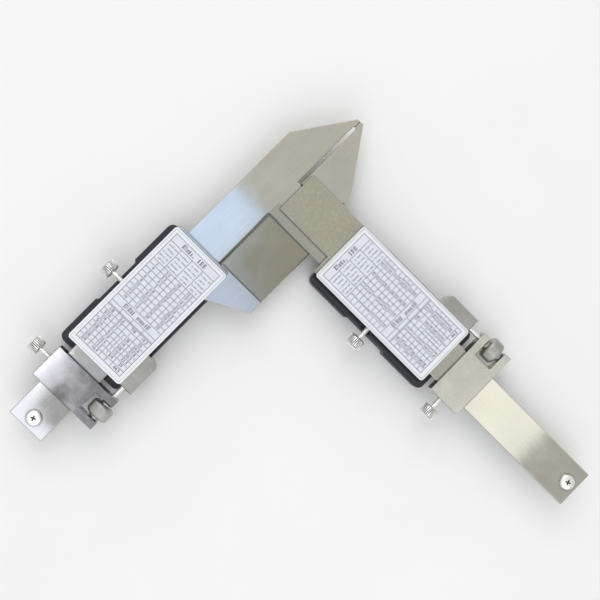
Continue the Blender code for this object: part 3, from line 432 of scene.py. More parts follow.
def dress(obj, material, body, replaces=None):
    """Gives a new piece its material, its body and what it stands for."""
    obj.data.materials.clear()
    obj.data.materials.append(material)
    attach(obj, body)
    if replaces:
        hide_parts(replaces)
    return obj


def body_of(node):
    """The body that a node of the frame rides on."""
    for body, nodes in frame["record"]["behaviour"]["bodies"].items():
        if node in nodes:
            return body
    raise RuntimeError(f"no body holds {node}")


def axis_matrix(node, outward):
    """Places a piece turned about Z so that it starts at a node's inner end."""
    low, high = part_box(node)
    centre = (low + high) / 2
    reach = abs((high - low).dot(outward)) / 2
    turn = Vector((0, 0, 1)).rotation_difference(outward).to_matrix().to_4x4()
    return Matrix.Translation(centre - outward * reach) @ turn


def axis_size(node, outward):
    """A turned node's length and largest radius."""
    low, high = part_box(node)
    size = high - low
    length = abs(size.dot(outward))
    across = [abs(size[i]) for i in range(3) if abs(outward[i]) < 0.5]
    return length, max(across) / 2


def stand_in(piece, node, ending, outward, finish):
    """Puts a piece modelled about Z on a node's axis, in the place of that node."""
    placed = copy_of(piece, f"{node}_{ending}", axis_matrix(node, outward))
    bpy.data.objects.remove(piece, do_unlink=True)
    dress(placed, MATERIALS[finish], body_of(node), node)


# Materials

SOFT_EDGE = 0.15 * MM
STEP_REACH = 0.9 * MM
LEVEL_MARGIN = 0.1 * MM
MIDDLE_NOISE = (0.3, 0.7)

# Sizes of the blotches, streaks and grains in the metals.
STREAK_WIDTH = 0.09 * MM
STREAK_LENGTH = 16 * MM
STEEL_CLOUD = 14 * MM
STEEL_SMEAR = 7 * MM
STEEL_PATCH = 1.3 * MM
SATIN_CLOUD = 6 * MM
SATIN_GRAIN = 0.30 * MM
SCREW_GRAIN = 0.2 * MM
CLOUD_PER_GRAIN = 40

# Colours that darken or stain the ground steel; the first is painted shade beside steps and walls.
PAINTED_STEP_SHADE = (0.02, 0.02, 0.018)
CLOUD_DARK = (0.12, 0.12, 0.11)
STREAK_DARK = (0.1, 0.1, 0.09)
STAIN_LIGHT = (0.86, 0.85, 0.72)
STRIP_DARK = (0.05, 0.045, 0.03)

# Where the ground steel changes its tone.
DARK_STRIP_WIDTH = 9.3 * MM
DARK_STRIP_SHARE = 0.2
WARM_MARGIN = 15 * MM
JAW_PLATE_MARGIN = 5 * MM


def add_node(tree, kind, inputs=None, **settings):
    """A node whose inputs are values, or the sockets that feed them."""
    made = tree.nodes.new(kind)
    for key, value in settings.items():
        setattr(made, key, value)
    for key, value in (inputs or {}).items():
        if isinstance(value, bpy.types.NodeSocket):
            tree.links.new(value, made.inputs[key])
        else:
            made.inputs[key].default_value = value
    return made


def new_material(name, colour, roughness, metallic=0.0):
    """A Principled material; returns it with its tree, shader and object coordinates."""
    material = bpy.data.materials.new(name)
    material.use_nodes = True
    tree = material.node_tree
    shader = tree.nodes["Principled BSDF"]
    shader.inputs["Base Color"].default_value = (*colour, 1)
    shader.inputs["Roughness"].default_value = roughness
    shader.inputs["Metallic"].default_value = metallic
    place = add_node(tree, "ShaderNodeTexCoord").outputs["Object"]
    return material, tree, shader, place


def noise(tree, place, size, detail=3.0, rough=0.5):
    """Noise with blotches of a size in metres, or of one size for each axis."""
    sizes = size if isinstance(size, (tuple, list)) else (size,) * 3
    mapped = add_node(
        tree,
        "ShaderNodeMapping",
        {"Vector": place, "Scale": tuple(1 / one for one in sizes)},
    )
    made = add_node(
        tree,
        "ShaderNodeTexNoise",
        {"Vector": mapped.outputs[0], "Scale": 1.0, "Detail": detail, "Roughness": rough},
    )
    return made.outputs["Fac"]


def fit(tree, value, low, high, to_low, to_high):
    """Maps a value from one range to another, held inside it."""
    made = add_node(
        tree,
        "ShaderNodeMapRange",
        {"Value": value, "From Min": low, "From Max": high, "To Min": to_low, "To Max": to_high},
    )
    return made.outputs["Result"]


def from_noise(tree, value, to_low, to_high):
    """Maps the range in which most of a noise lies to another range."""
    return fit(tree, value, *MIDDLE_NOISE, to_low, to_high)


def blend_colours(tree, share, first, second):
    """A colour between two, each a colour or a socket."""

    def as_input(colour):
        return colour if isinstance(colour, bpy.types.NodeSocket) else (*colour, 1)

    pair = {0: share, 6: as_input(first), 7: as_input(second)}
    return add_node(tree, "ShaderNodeMix", pair, data_type="RGBA").outputs[2]


def calculate(tree, operation, first, second):
    made = add_node(tree, "ShaderNodeMath", {0: first, 1: second}, operation=operation)
    return made.outputs[0]


def both(tree, first, second):
    """The product of two shares."""
    return calculate(tree, "MULTIPLY", first, second)


def coordinates(tree, place):
    """The X, Y and Z sockets of a point."""
    return add_node(tree, "ShaderNodeSeparateXYZ", {0: place}).outputs


def soft_normal(tree, reach):
    """Normals that turn softly round the edges."""
    return add_node(tree, "ShaderNodeBevel", {"Radius": reach}, samples=4).outputs[0]


def bump(tree, shader, height, strength, distance, edge=0.0):
    """Fine relief, on normals that turn softly round the edges where edge is given."""
    relief = {"Height": height, "Strength": strength, "Distance": distance}
    if edge:
        relief["Normal"] = soft_normal(tree, edge)
    made = add_node(tree, "ShaderNodeBump", relief)
    tree.links.new(made.outputs[0], shader.inputs["Normal"])


def shade(colour, factor):
    return tuple(min(1.0, channel * factor) for channel in colour)


def grinding_lines(tree, place, along):
    """Fine streaks of a surface grinder, along X or Y."""
    wide, long = STREAK_WIDTH, STREAK_LENGTH
    sizes = (long, wide, wide) if along == "X" else (wide, long, wide)
    return noise(tree, place, sizes, detail=2.0)


def painted_step_shade(tree, colour, depth=0.8):
    """Paints shade into a colour where a step or a wall stands close by."""
    near = add_node(tree, "ShaderNodeAmbientOcclusion", {"Distance": STEP_REACH}, samples=8)
    share = fit(tree, near.outputs["AO"], 0.35, 0.95, depth, 0.0)
    return blend_colours(tree, share, colour, PAINTED_STEP_SHADE)


def ground_steel(name, colour, roughness, lines, stain=0.0):
    """Ground steel; colour and lines make its tone and its streaks from the place.

    The stain is how much the plates above the beam are spotted.
    """
    material, tree, shader, place = new_material(name, (0.5, 0.5, 0.5), roughness, 1.0)
    tone = colour(tree, place)
    streaks = lines(tree, place)
    cloud = noise(tree, place, STEEL_CLOUD, detail=4.0)
    patch = noise(tree, place, STEEL_PATCH, detail=4.0, rough=0.6)
    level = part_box("main_frame")[1].z + LEVEL_MARGIN
    above = calculate(tree, "GREATER_THAN", coordinates(tree, place)["Z"], level)
    spots = both(tree, above, fit(tree, patch, 0.50, 0.75, 0.0, stain))
    tone = blend_colours(tree, from_noise(tree, cloud, 0.12, 0.0), tone, CLOUD_DARK)
    tone = blend_colours(tree, fit(tree, streaks, 0.3, 0.75, 0.0, 0.13), tone, STREAK_DARK)
    tone = blend_colours(tree, spots, tone, STAIN_LIGHT)
    # Painted shade: the tone darkens beside steps and walls.
    tree.links.new(painted_step_shade(tree, tone), shader.inputs["Base Color"])
    smear = noise(tree, place, STEEL_SMEAR, detail=5.0, rough=0.6)
    smeared = fit(tree, smear, 0.35, 0.7, roughness - 0.01, roughness + 0.03)
    rough = calculate(tree, "ADD", smeared, from_noise(tree, streaks, 0.0, 0.02))
    tree.links.new(rough, shader.inputs["Roughness"])
    bump(tree, shader, streaks, 0.05, 0.01 * MM, SOFT_EDGE)
    return material


def beam_lines(tree, place):
    """Grinding lines along Y on the tooth beam, and along X on the width beam."""
    share = width_beam_share(tree, place)
    first, second = grinding_lines(tree, place, "Y"), grinding_lines(tree, place, "X")
    mix = add_node(tree, "ShaderNodeMix", {0: share, 2: first, 3: second})
    return mix.outputs[0]


def beam_tone(tree, place):
    """The beams' colour: neutral at the tooth beam's tail, darker on a strip by the jaw plate."""
    finish = bpy.context.scene.caliper_finish
    corner = coordinates(tree, place)
    cover_low, cover_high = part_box("tongue_back_cover")
    beside = calculate(tree, "LESS_THAN", corner["X"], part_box("jaw_back_cover")[0].x)
    below = calculate(tree, "LESS_THAN", corner["Y"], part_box("jaw_frame")[0].y + DARK_STRIP_WIDTH)
    strip = both(tree, below, both(tree, beside, width_beam_share(tree, place)))
    warm = fit(tree, corner["Y"], cover_low.y + WARM_MARGIN, cover_high.y - WARM_MARGIN, 0.0, 1.0)
    steel = blend_colours(tree, warm, finish.tail_steel, finish.beam_steel)
    return blend_colours(tree, both(tree, strip, DARK_STRIP_SHARE), steel, STRIP_DARK)


def slider_tone(tree, place):
    """Neutral plates, a warmer jaw plate, the beam's steel at its level, and a darker, warmer
    blade, which is painted shade and reflection.
    """
    finish = bpy.context.scene.caliper_finish
    beam_low, beam_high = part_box("main_frame")
    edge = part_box("tongue_back_cover")[1].y + JAW_PLATE_MARGIN
    corner = coordinates(tree, place)
    above = calculate(tree, "GREATER_THAN", corner["Z"], beam_high.z + LEVEL_MARGIN)
    level = calculate(tree, "GREATER_THAN", corner["Z"], beam_low.z - LEVEL_MARGIN)
    north = calculate(tree, "GREATER_THAN", corner["Y"], edge)
    west = calculate(tree, "LESS_THAN", corner["X"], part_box("jaw_back_cover")[0].x)
    jaw_plate = both(tree, north, west)
    plates = blend_colours(tree, jaw_plate, finish.plate_steel, finish.jaw_plate_steel)
    # Painted shade and reflection: parts below the beam's level take the darker, warmer blade
    # steel.
    lower = blend_colours(tree, level, finish.blade_steel, finish.jaw_steel)
    return blend_colours(tree, above, lower, plates)


def width_beam_share(tree, place):
    """1 on the width beam, whose grinding lines run along X, and 0 on the tooth beam."""
    strip_low, strip_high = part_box("tongue_scale_strip")
    inner = strip_low.x + strip_high.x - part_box("main_frame")[0].x
    return calculate(tree, "GREATER_THAN", coordinates(tree, place)["X"], inner)


def satin_steel(name, colour, roughness):
    """Finely blasted steel with a close grain and soft clouds."""
    material, tree, shader, place = new_material(name, colour, roughness, 1.0)
    cloud = noise(tree, place, SATIN_CLOUD, detail=4.0)
    grain = noise(tree, place, SATIN_GRAIN, detail=3.0)
    dark, light = shade(colour, 0.90), shade(colour, 1.08)
    tone = blend_colours(tree, from_noise(tree, cloud, 0, 1), dark, light)
    tone = blend_colours(tree, from_noise(tree, grain, 0, 0.14), tone, shade(colour, 0.6))
    # Painted shade: the tone darkens beside steps and walls.
    tree.links.new(painted_step_shade(tree, tone, 0.6), shader.inputs["Base Color"])
    rough = from_noise(tree, cloud, roughness - 0.04, roughness + 0.06)
    tree.links.new(rough, shader.inputs["Roughness"])
    bump(tree, shader, grain, 0.08, 0.02 * MM, SOFT_EDGE)
    return material


def screw_steel(name, colour, roughness, groove_shade):
    """Bright turned steel, with painted shade where a groove is marked."""
    material, tree, shader, place = new_material(name, colour, roughness, 1.0)
    groove = add_node(tree, "ShaderNodeAttribute", attribute_name="groove").outputs["Fac"]
    grain = noise(tree, place, SCREW_GRAIN, detail=3.0)
    in_groove = fit(tree, groove, 0.05, 0.6, 0, 1)
    tone = blend_colours(tree, from_noise(tree, grain, 0, 0.2), colour, shade(colour, 0.75))
    # Painted shade: the marked grooves and recesses are darkened.
    tone = blend_colours(tree, in_groove, tone, shade(colour, groove_shade))
    tree.links.new(tone, shader.inputs["Base Color"])
    rough = from_noise(tree, grain, roughness - 0.04, roughness + 0.06)
    tree.links.new(rough, shader.inputs["Roughness"])
    bump(tree, shader, grain, 0.08, 0.03 * MM)
    return material


def grained(name, colour, roughness, grain_size, depth, variation=0.12, metallic=0.0, edge=0.0):
    """A plain finish with a fine grain in its tone, gloss and height."""
    material, tree, shader, place = new_material(name, colour, roughness, metallic)
    grain = noise(tree, place, grain_size, detail=3.0)
    cloud = noise(tree, place, CLOUD_PER_GRAIN * grain_size, detail=3.0)
    dark, light = shade(colour, 1 - variation), shade(colour, 1 + variation)
    tone = blend_colours(tree, from_noise(tree, cloud, 0, 1), dark, light)
    # Painted highlight: where edge is given on a plastic, its edges are lightened to five times
    # its colour.
    if edge and not metallic:
        tone = blend_colours(tree, edge_share(tree, edge), tone, shade(colour, 5.0))
    tree.links.new(tone, shader.inputs["Base Color"])
    rough = from_noise(tree, grain, roughness - 0.06, roughness + 0.06)
    tree.links.new(rough, shader.inputs["Roughness"])
    bump(tree, shader, grain, 0.25, depth, edge)
    return material


def edge_share(tree, reach):
    """How far a point lies on an edge: there the softened normal leaves the true one."""
    true = add_node(tree, "ShaderNodeNewGeometry").outputs["True Normal"]
    pair = {0: soft_normal(tree, reach), 1: true}
    lean = add_node(tree, "ShaderNodeVectorMath", pair, operation="DOT_PRODUCT")
    return fit(tree, lean.outputs["Value"], 0.80, 0.98, 1.0, 0.0)


def clear_lens(name):
    """Clear moulded plastic over the display."""
    material, tree, shader, place = new_material(name, (0.93, 0.96, 0.95), 0.06)
    shader.inputs["Transmission Weight"].default_value = 1.0
    shader.inputs["IOR"].default_value = 1.49
    smear = noise(tree, place, 3 * MM, detail=4.0)
    tree.links.new(fit(tree, smear, 0.4, 0.7, 0.04, 0.12), shader.inputs["Roughness"])
    return material


def board_finish(name):
    """Solder mask with copper tracks under it."""
    material, tree, shader, place = new_material(name, (0.02, 0.14, 0.06), 0.35)
    tracks = add_node(
        tree,
        "ShaderNodeTexBrick",
        {
            "Vector": place,
            "Color1": (0.02, 0.15, 0.06, 1),
            "Color2": (0.03, 0.19, 0.08, 1),
            "Mortar": (0.12, 0.32, 0.12, 1),
            "Scale": 500.0,
            "Mortar Size": 0.03,
        },
    )
    tree.links.new(tracks.outputs["Color"], shader.inputs["Base Color"])
    bump(tree, shader, tracks.outputs["Fac"], 0.2, 0.05 * MM)
    return material


def make_materials():
    """Every finish, by a short name."""
    finish = bpy.context.scene.caliper_finish
    table = bpy.context.scene.caliper_table

    def slider_lines(tree, place):
        return grinding_lines(tree, place, "Y")

    def plain(name, colour, roughness, grain, depth, **more):
        return grained(name, colour, roughness, grain * MM, depth * MM, **more)

    glass, connector, cell = (0.34, 0.38, 0.32), (0.42, 0.15, 0.19), (0.74, 0.74, 0.71)
    # The last of these is the grey of the painted shadow round each table's sheet.
    brass, strip, outline = (0.66, 0.50, 0.24), (0.014, 0.016, 0.02), (0.36, 0.37, 0.39)
    segment = (0.012, 0.013, 0.014)
    metal = {"metallic": 1.0}
    cover = {"variation": 0.03, "edge": SOFT_EDGE, **metal}
    # The plastic gets random clouds in its tone and a painted highlight along its edges.
    painted_edge_glint = {"variation": 0.25, "edge": 0.35 * MM}
    return {
        "beam": ground_steel("beam_ground_steel", beam_tone, 0.06, beam_lines),
        "slider": ground_steel("slider_ground_steel", slider_tone, 0.10, slider_lines, stain=0.22),
        "carriage": satin_steel("carriage_satin_steel", finish.carriage_steel, 0.26),
        # Painted shade: the tongue's carriage gets a darker copy of the same satin steel.
        "shaded_carriage": satin_steel("carriage_dull_steel", finish.dull_steel, 0.11),
        "knob": screw_steel("turned_screw_steel", finish.knob_steel, 0.30, 0.06),
        "nut": screw_steel("turned_nut_steel", finish.nut_steel, 0.34, 0.7),
        "cover": plain("cover_aluminium", finish.aluminium, 0.36, 0.15, 0.01, **cover),
        "plastic": plain("black_moulded_plastic", finish.plastic, 0.42, 0.16, 0.03, **painted_edge_glint),
        "key": plain("grey_key_rubber", finish.key_rubber, 0.55, 0.1, 0.02),
        "lens": clear_lens("clear_lens_plastic"),
        "glass": plain("display_glass_grey", glass, 0.22, 0.5, 0.001, variation=0.04),
        "connector": plain("striped_connector_rubber", connector, 0.6, 0.2, 0.02),
        "board": board_finish("green_circuit_board"),
        "cell": plain("cell_steel", cell, 0.26, 0.1, 0.01, variation=0.04, **metal),
        "brass": plain("gib_brass", brass, 0.32, 0.15, 0.01, variation=0.06, **metal),
        "strip": plain("scale_strip_black", strip, 0.34, 0.1, 0.005),
        "paper": plain("table_paper", table.paper, 0.42, 0.1, 0.004, variation=0.02),
        "tint": plain("table_tint", table.tint, 0.42, 0.1, 0.004, variation=0.02),
        "outline": plain("table_outline", outline, 0.45, 0.1, 0.004),
        "ink": plain("table_ink", table.ink, 0.5, 0.1, 0.002),
        "white_print": plain("white_print", finish.print_white, 0.5, 0.1, 0.002, variation=0.03),
        "segment": plain("display_segment", segment, 0.4, 0.2, 0.001),
    }


NODE_FINISH = {
    "main_frame": "beam",
    "tongue_frame": "slider",
    "jaw_frame": "slider",
    "scale_strip": "strip",
    "stop_screw": "knob",
    "back_cover": "cover",
    "display_housing": "plastic",
    "display_lens": "lens",
    "lcd_panel": "glass",
    "display_connector": "connector",
    "circuit_board": "board",
    "button_1": "key",
    "button_2": "key",
    "button_3": "key",
    "battery": "cell",
    "battery_contact": "brass",
    "battery_door": "plastic",
    "carriage_gib": "brass",
    "gib": "brass",
    "gib_screw_1": "knob",
    "gib_screw_2": "knob",
    "carriage_lock_screw": "knob",
    "lock_screw": "knob",
    "carriage": "carriage",
    "tongue_carriage": "shaded_carriage",
    "adjust_spindle": "knob",
    "adjust_nut": "nut",
}

MATERIALS = {}


class CALIPER_OT_finishes(bpy.types.Operator):
    """Makes every material and gives the frame's nodes theirs"""

    bl_idname = "caliper.finishes"
    bl_label = "Finish the Frame"

    def execute(self, context):
        MATERIALS.update(make_materials())
        for name, obj in frame["nodes"].items():
            kind = name if name in NODE_FINISH else name.split("_", 1)[1]
            if kind not in NODE_FINISH:
                raise RuntimeError(f"no finish is named for {name}")
            obj.material_slots[0].material = MATERIALS[NODE_FINISH[kind]]
        return {"FINISHED"}


# The printed tables

PAPER, TINT, EDGE_SHADOW = range(3)
CORNER_SEGMENTS = 6
COVER_RECESS = 0.2 * MM
SHEET_LIFT = 0.01 * MM
TAIL_MARGIN = 0.5 * MM
DOUBLE_LINE = 0.45 * MM
HEADING_START = 6.2 * MM

# Bands of the table along the head, in shares of its length.
COLUMNS = 4
ROWS = 9
HEADING_SHARE = 3.2
CAPTION_SHARE = 9.0
MIDDLE_SHARE = 3.0
ROW_SHARE = 2.06
CAPTION_LINES = (1.5, 3.2, 4.8, 6.4, 7.9)

# Strokes of the small print: how far its stems reach, their width and their spacing.
SMALL_BODY = 0.24 * MM
SMALL_RISE = 0.42 * MM
SMALL_TAIL = 0.36 * MM
SMALL_STROKE = 0.17 * MM
SMALL_ARM = 0.3 * MM
SMALL_BAR = (0.1 * MM, 0.06 * MM)
SMALL_ADVANCE = 0.37 * MM

# Letters of the headings: advance and height in millimetres, and further strokes.
HEADING_LETTERS = (
    (2.0, 1.8, 2),
    (1.2, 1.2, 1),
    (1.0, 1.6, 0),
    (1.1, 1.2, 0),
    (2.6, 0.4, 0),
    (1.1, 1.8, 0),
    (1.4, 1.8, 1),
    (1.6, 1.8, 1),
)
MIDDLE_LETTERS = (
    (2.2, 1.8, 2),
    (1.3, 1.8, 1),
    (0.8, 1.6, 0),
    (2.4, 1.7, 0),
    (1.8, 1.2, 2),
    (1.2, 1.2, 1),
    (1.1, 1.2, 0),
    (0.9, 1.6, 0),
    (1.3, 1.8, 1),
)
SIZES_LEFT = ("3", "4", "5", "6", "8", "10", "12", "14", "16")
DRILLS_LEFT = ("2.5", "3.3", "4.2", "5", "6.8", "8.5", "10.2", "12", "14")
SIZES_RIGHT = ("18", "20", "22", "24", "27", "30", "33", "36", "39")
DRILLS_RIGHT = ("15.5", "17.5", "19.5", "21", "24", "26.5", "29.5", "32", "35")
INCHES_LEFT = ("1/8", "3/16", "1/4", "5/16", "3/8", "1/2", "5/8", "3/4")
HOLES_LEFT = ("2.6", "3.7", "5.1", "6.5", "7.9", "10.5", "13.5", "16.4")
INCHES_RIGHT = ("7/8", "1", "1 1/8", "1 1/4", "1 3/8", "1 1/2", "1 3/4", "2")
HOLES_RIGHT = ("19.3", "22", "24.6", "27.8", "30.2", "33.5", "39", "44.5")


def table_layout():
    """Where the grid lies on the jaw head's cover: its corners, bands and row lines."""
    table = bpy.context.scene.caliper_table
    low, high = local_box("jaw", "back_cover")
    inset = table.frame_inset
    x0, x1 = low.x + inset, high.x - inset - TAIL_MARGIN
    y0, y1 = low.y + inset, high.y - inset
    total = HEADING_SHARE + CAPTION_SHARE + MIDDLE_SHARE + 2 * ROWS * ROW_SHARE
    unit = (x1 - x0) / total
    heading = x0 + HEADING_SHARE * unit
    caption = heading + CAPTION_SHARE * unit
    upper = [caption + i * ROW_SHARE * unit for i in range(ROWS + 1)]
    middle = upper[-1] + MIDDLE_SHARE * unit
    lower = [middle + i * ROW_SHARE * unit for i in range(ROWS + 1)]
    columns = [y0 + i * (y1 - y0) / COLUMNS for i in range(COLUMNS + 1)]
    return {
        "x": (x0, x1),
        "y": (y0, y1),
        "unit": unit,
        "heading": heading,
        "caption": caption,
        "upper": upper,
        "middle": middle,
        "lower": lower,
        "columns": columns,
    }


def sheet_top():
    """The height of the sheet's face on the jaw head."""
    table = bpy.context.scene.caliper_table
    high = local_box("jaw", "back_cover")[1]
    return high.z - COVER_RECESS + table.sheet_height + SHEET_LIFT


def make_sheet():
    """The paper on the cover, with its tinted field inside the grid and a painted shadow round its
    edge.
    """
    table = bpy.context.scene.caliper_table
    layout = table_layout()
    low, high = local_box("jaw", "back_cover")
    inset = table.sheet_inset
    top = sheet_top()
    sheet = block(
        "jaw_table_sheet",
        (low.x + inset, low.y + inset, top - table.sheet_height),
        (high.x - inset, high.y - inset, top),
    )
    for part in ("paper", "tint", "outline"):
        sheet.data.materials.append(MATERIALS[part])
    edit(sheet)
    bevel_upright(sheet, table.sheet_corner, CORNER_SEGMENTS)
    # Painted shadow of the cover's recess edge: a grey band round the sheet's top face.
    pick(sheet, "faces", lambda face: face.normal.z > 0.5)
    sheet.active_material_index = EDGE_SHADOW
    bpy.ops.object.material_slot_assign()
    bpy.ops.mesh.inset(thickness=table.outline_width, depth=0)
    sheet.active_material_index = PAPER
    bpy.ops.object.material_slot_assign()
    x0, x1 = layout["x"]
    y0, y1 = layout["y"]
    along, across = (1, 0, 0), (0, 1, 0)
    for place, normal in (
        ((x0, 0, 0), along),
        ((x1, 0, 0), along),
        ((0, y0, 0), across),
        ((0, y1, 0), across),
    ):
        pick(sheet, "faces", lambda face: True)
        bpy.ops.mesh.bisect(plane_co=place, plane_no=normal)
    close_edit()
    for face in sheet.data.polygons:
        inside = x0 < face.center.x < x1 and y0 < face.center.y < y1
        if inside and face.normal.z > 0.5:
            face.material_index = TINT
    return sheet


def grid_bars():
    """The grid's lines, as (x0, y0, x1, y1) rectangles."""
    table = bpy.context.scene.caliper_table
    layout = table_layout()
    half = table.line_width / 2
    x0, x1 = layout["x"]
    y0, y1 = layout["y"]
    bars = []
    for x in [x0, layout["heading"], *layout["upper"], *layout["lower"]]:
        bars.append((x - half, y0 - half, x + half, y1 + half))
    double = layout["lower"][1] - DOUBLE_LINE
    bars.append((double - half, y0, double + half, y1))
    for y in (y0, y1):
        bars.append((x0 - half, y - half, x1 + half, y + half))
    for y in layout["columns"][1:-1]:
        bars.append((layout["heading"], y - half, layout["upper"][-1], y + half))
        bars.append((layout["middle"], y - half, x1, y + half))
    return bars


def letter_run(x, y, end, line):
    """Small print as letter-sized strokes of uneven height, with gaps between the words."""
    bars = []
    step = 0
    while y < end:
        code = (7 * step + 5 * line + (step * step + line) % 3) % 11
        if code not in (0, 6):
            low = SMALL_BODY if code % 4 else SMALL_TAIL
            high = SMALL_RISE if code % 3 == 0 else SMALL_BODY
            stem_end = y + SMALL_STROKE
            bars.append((x - high, y, x + low, stem_end))
            if code % 2:
                bars.append((x - SMALL_BAR[0], stem_end, x + SMALL_BAR[1], y + SMALL_ARM))
        y += SMALL_ADVANCE
        step += 1
    return bars


def caption_bars():
    """The small print in the caption cells."""
    layout = table_layout()
    columns = layout["columns"]
    bars = []
    for column, (y0, y1) in enumerate(zip(columns, columns[1:])):
        for line, offset in enumerate(CAPTION_LINES):
            x = layout["heading"] + offset * layout["unit"]
            indent = (0.5 + 0.35 * ((column + 2 * line) % 3)) * MM
            bars += letter_run(x, y0 + indent, y1 - indent, 5 * column + line)
    return bars


def heading_bars(x, y, letters):
    """Bold letter-like strokes: a stem on a serif, and lighter strokes joined to it."""
    stem, light, foot = 0.42 * MM, 0.22 * MM, x + 0.9 * MM
    serif, reach = 0.2 * MM, 0.12 * MM
    joint_length, joint_height = 0.3 * MM, 0.25 * MM
    bars = []
    for advance, height, more in letters:
        top = foot - height * MM
        bars.append((top, y, foot, y + stem))
        bars.append((foot - serif, y - reach, foot, y + stem + reach))
        for i in range(more):
            side = y + (0.72 + 0.62 * i) * MM
            bars.append((top, side, foot, side + light))
            bars.append((top, side - joint_length, top + joint_height, side))
        y += advance * MM
    return bars


def ink_bars(name, bars, height):
    """All bars as thin blocks in one mesh."""
    top = sheet_top()
    deselect()
    first = True
    for x0, y0, x1, y1 in bars:
        place = ((x0 + x1) / 2, (y0 + y1) / 2, top + height / 2)
        size = (x1 - x0, y1 - y0, height)
        bpy.ops.mesh.primitive_cube_add(size=1, location=place, scale=size)
        if first:
            obj = bake_place(name_new(name))
            edit(obj)
            first = False
    close_edit()
    return obj


def make_grid():
    """Grid lines, small print and headings."""
    table = bpy.context.scene.caliper_table
    layout = table_layout()
    y0, y1 = layout["y"]
    middle_y = (y0 + y1) / 2
    heading_x = (layout["x"][0] + layout["heading"]) / 2
    band_x = (layout["upper"][-1] + layout["middle"]) / 2
    first = middle_y - HEADING_START
    bars = grid_bars() + caption_bars()
    bars += heading_bars(heading_x, first, HEADING_LETTERS)
    bars += heading_bars(band_x, first, MIDDLE_LETTERS)
    return ink_bars("jaw_table_grid", bars, table.ink_height)


def make_figures():
    """The plain numbers in the table's cells, read along the head's y axis."""
    table = bpy.context.scene.caliper_table
    layout = table_layout()
    top = sheet_top() + table.ink_height
    turn = Matrix.Rotation(QUARTER_TURN, 4, "Z")
    columns = layout["columns"]
    centres = [(a + b) / 2 for a, b in zip(columns, columns[1:])]
    tables = (
        (layout["upper"], (SIZES_LEFT, DRILLS_LEFT, SIZES_RIGHT, DRILLS_RIGHT)),
        (layout["lower"][1:], (INCHES_LEFT, HOLES_LEFT, INCHES_RIGHT, HOLES_RIGHT)),
    )
    pieces = []
    for rows, cells in tables:
        for y, column in zip(centres, cells):
            for x0, x1, text in zip(rows, rows[1:], column):
                place = Matrix.Translation(((x0 + x1) / 2, y, top)) @ turn
                size, weight = table.figure_size, table.figure_weight
                pieces.append(printed("figure", text, size, place, weight))
    return join("jaw_table_figures", pieces)


def spread(obj, part, material=None):
    """Puts a piece modelled in head axes on both heads."""
    for prefix in HEADS:
        piece = copy_of(obj, f"{prefix}_{part}", head_matrix(prefix))
        if material:
            piece.data.materials.clear()
            piece.data.materials.append(material)
        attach(piece, f"{prefix}_head")
    bpy.data.objects.remove(obj, do_unlink=True)


class CALIPER_OT_tables(bpy.types.Operator):
    """Lays the printed table on each back cover"""

    bl_idname = "caliper.tables"
    bl_label = "Table Labels"

    def execute(self, context):
        spread(make_sheet(), "table_sheet")
        spread(make_grid(), "table_grid", MATERIALS["ink"])
        spread(make_figures(), "table_figures", MATERIALS["ink"])
        return {"FINISHED"}


# Knurled and threaded pieces

KNURL_ANGLE = 28
SCREW_ANGLE = 30
KEY_ANGLE = 40
SPINDLE_ANGLE = 25
BORE_SIDES = 32
SPINDLE_SIDES = 20
SCREW_SIDES = 48
GRUB_SIDES = 24
SOCKET_SIDES = 6
KEY_SIDES = 40
KNOB_BAND = 0.45 * MM
KNOB_THREAD_DEPTH = 0.1 * MM
NUT_BAND = 0.25 * MM
NUT_BORE = 1.15 * MM
SPINDLE_PLAIN = 9 * MM
STOP_PITCH = 0.5 * MM
STOP_DEPTH = 0.12 * MM
GRUB_PITCH = 0.4 * MM
GRUB_DEPTH = 0.1 * MM
SOCKET_RADIUS = 0.52 * MM
SOCKET_DEPTH = 0.9 * MM
CROSS_TURN = math.radians(20)


def knob_profile(length, radius):
    """A thumb screw from its tip to its crowned end."""
    sizes = bpy.context.scene.caliper_knurl
    foot = length - sizes.knob_length
    shank, relief, neck = 1.0 * MM, 0.85 * MM, 1.5 * MM
    chamfer, rim, dish = 0.5 * MM, 0.75 * MM, 0.16 * MM
    steps = [(0.7 * shank, 0.0)]
    pitch = 0.8 * sizes.thread_pitch
    steps += thread(shank, 0.1 * MM, foot - neck - 0.1 * MM, pitch, KNOB_THREAD_DEPTH)
    return steps + [
        (relief, foot - neck),
        (relief, foot),
        (radius - 2.4 * chamfer, foot),
        (radius - 1.2 * chamfer, foot + 0.15 * MM),
        (radius - 0.2 * chamfer, foot + 0.55 * MM),
        (radius, foot + rim),
        (radius, length - rim),
        (radius - 0.2 * chamfer, length - 0.55 * MM),
        (radius - 1.2 * chamfer, length - 0.1 * MM),
        (radius - 1.6 * chamfer, length),
        (radius - 2.2 * chamfer, length),
        (radius - 2.5 * chamfer, length - 0.12 * MM),
        (0.15 * MM, length - dish),
    ]


def make_knob(node, outward):
    sizes = bpy.context.scene.caliper_knurl
    length, radius = axis_size(node, outward)
    knob = turned("knob", COLUMNS_PER_RIDGE * sizes.knob_ridges, knob_profile(length, radius))
    knurl(knob, sizes.knob_ridges, radius - KNOB_BAND, sizes.knob_groove)
    smooth(knob, KNURL_ANGLE)
    return knob


class CALIPER_OT_lock_screws(bpy.types.Operator):
    """Turns the knurled lock screws of the sliders and carriages"""

    bl_idname = "caliper.lock_screws"
    bl_label = "Lock Screws"

    def execute(self, context):
        for prefix in HEADS:
            outward = head_way(prefix, TO_KNOBS)
            for part in ("lock_screw", "carriage_lock_screw"):
                node = f"{prefix}_{part}"
                stand_in(make_knob(node, outward), node, "knurled", outward, "knob")
        return {"FINISHED"}


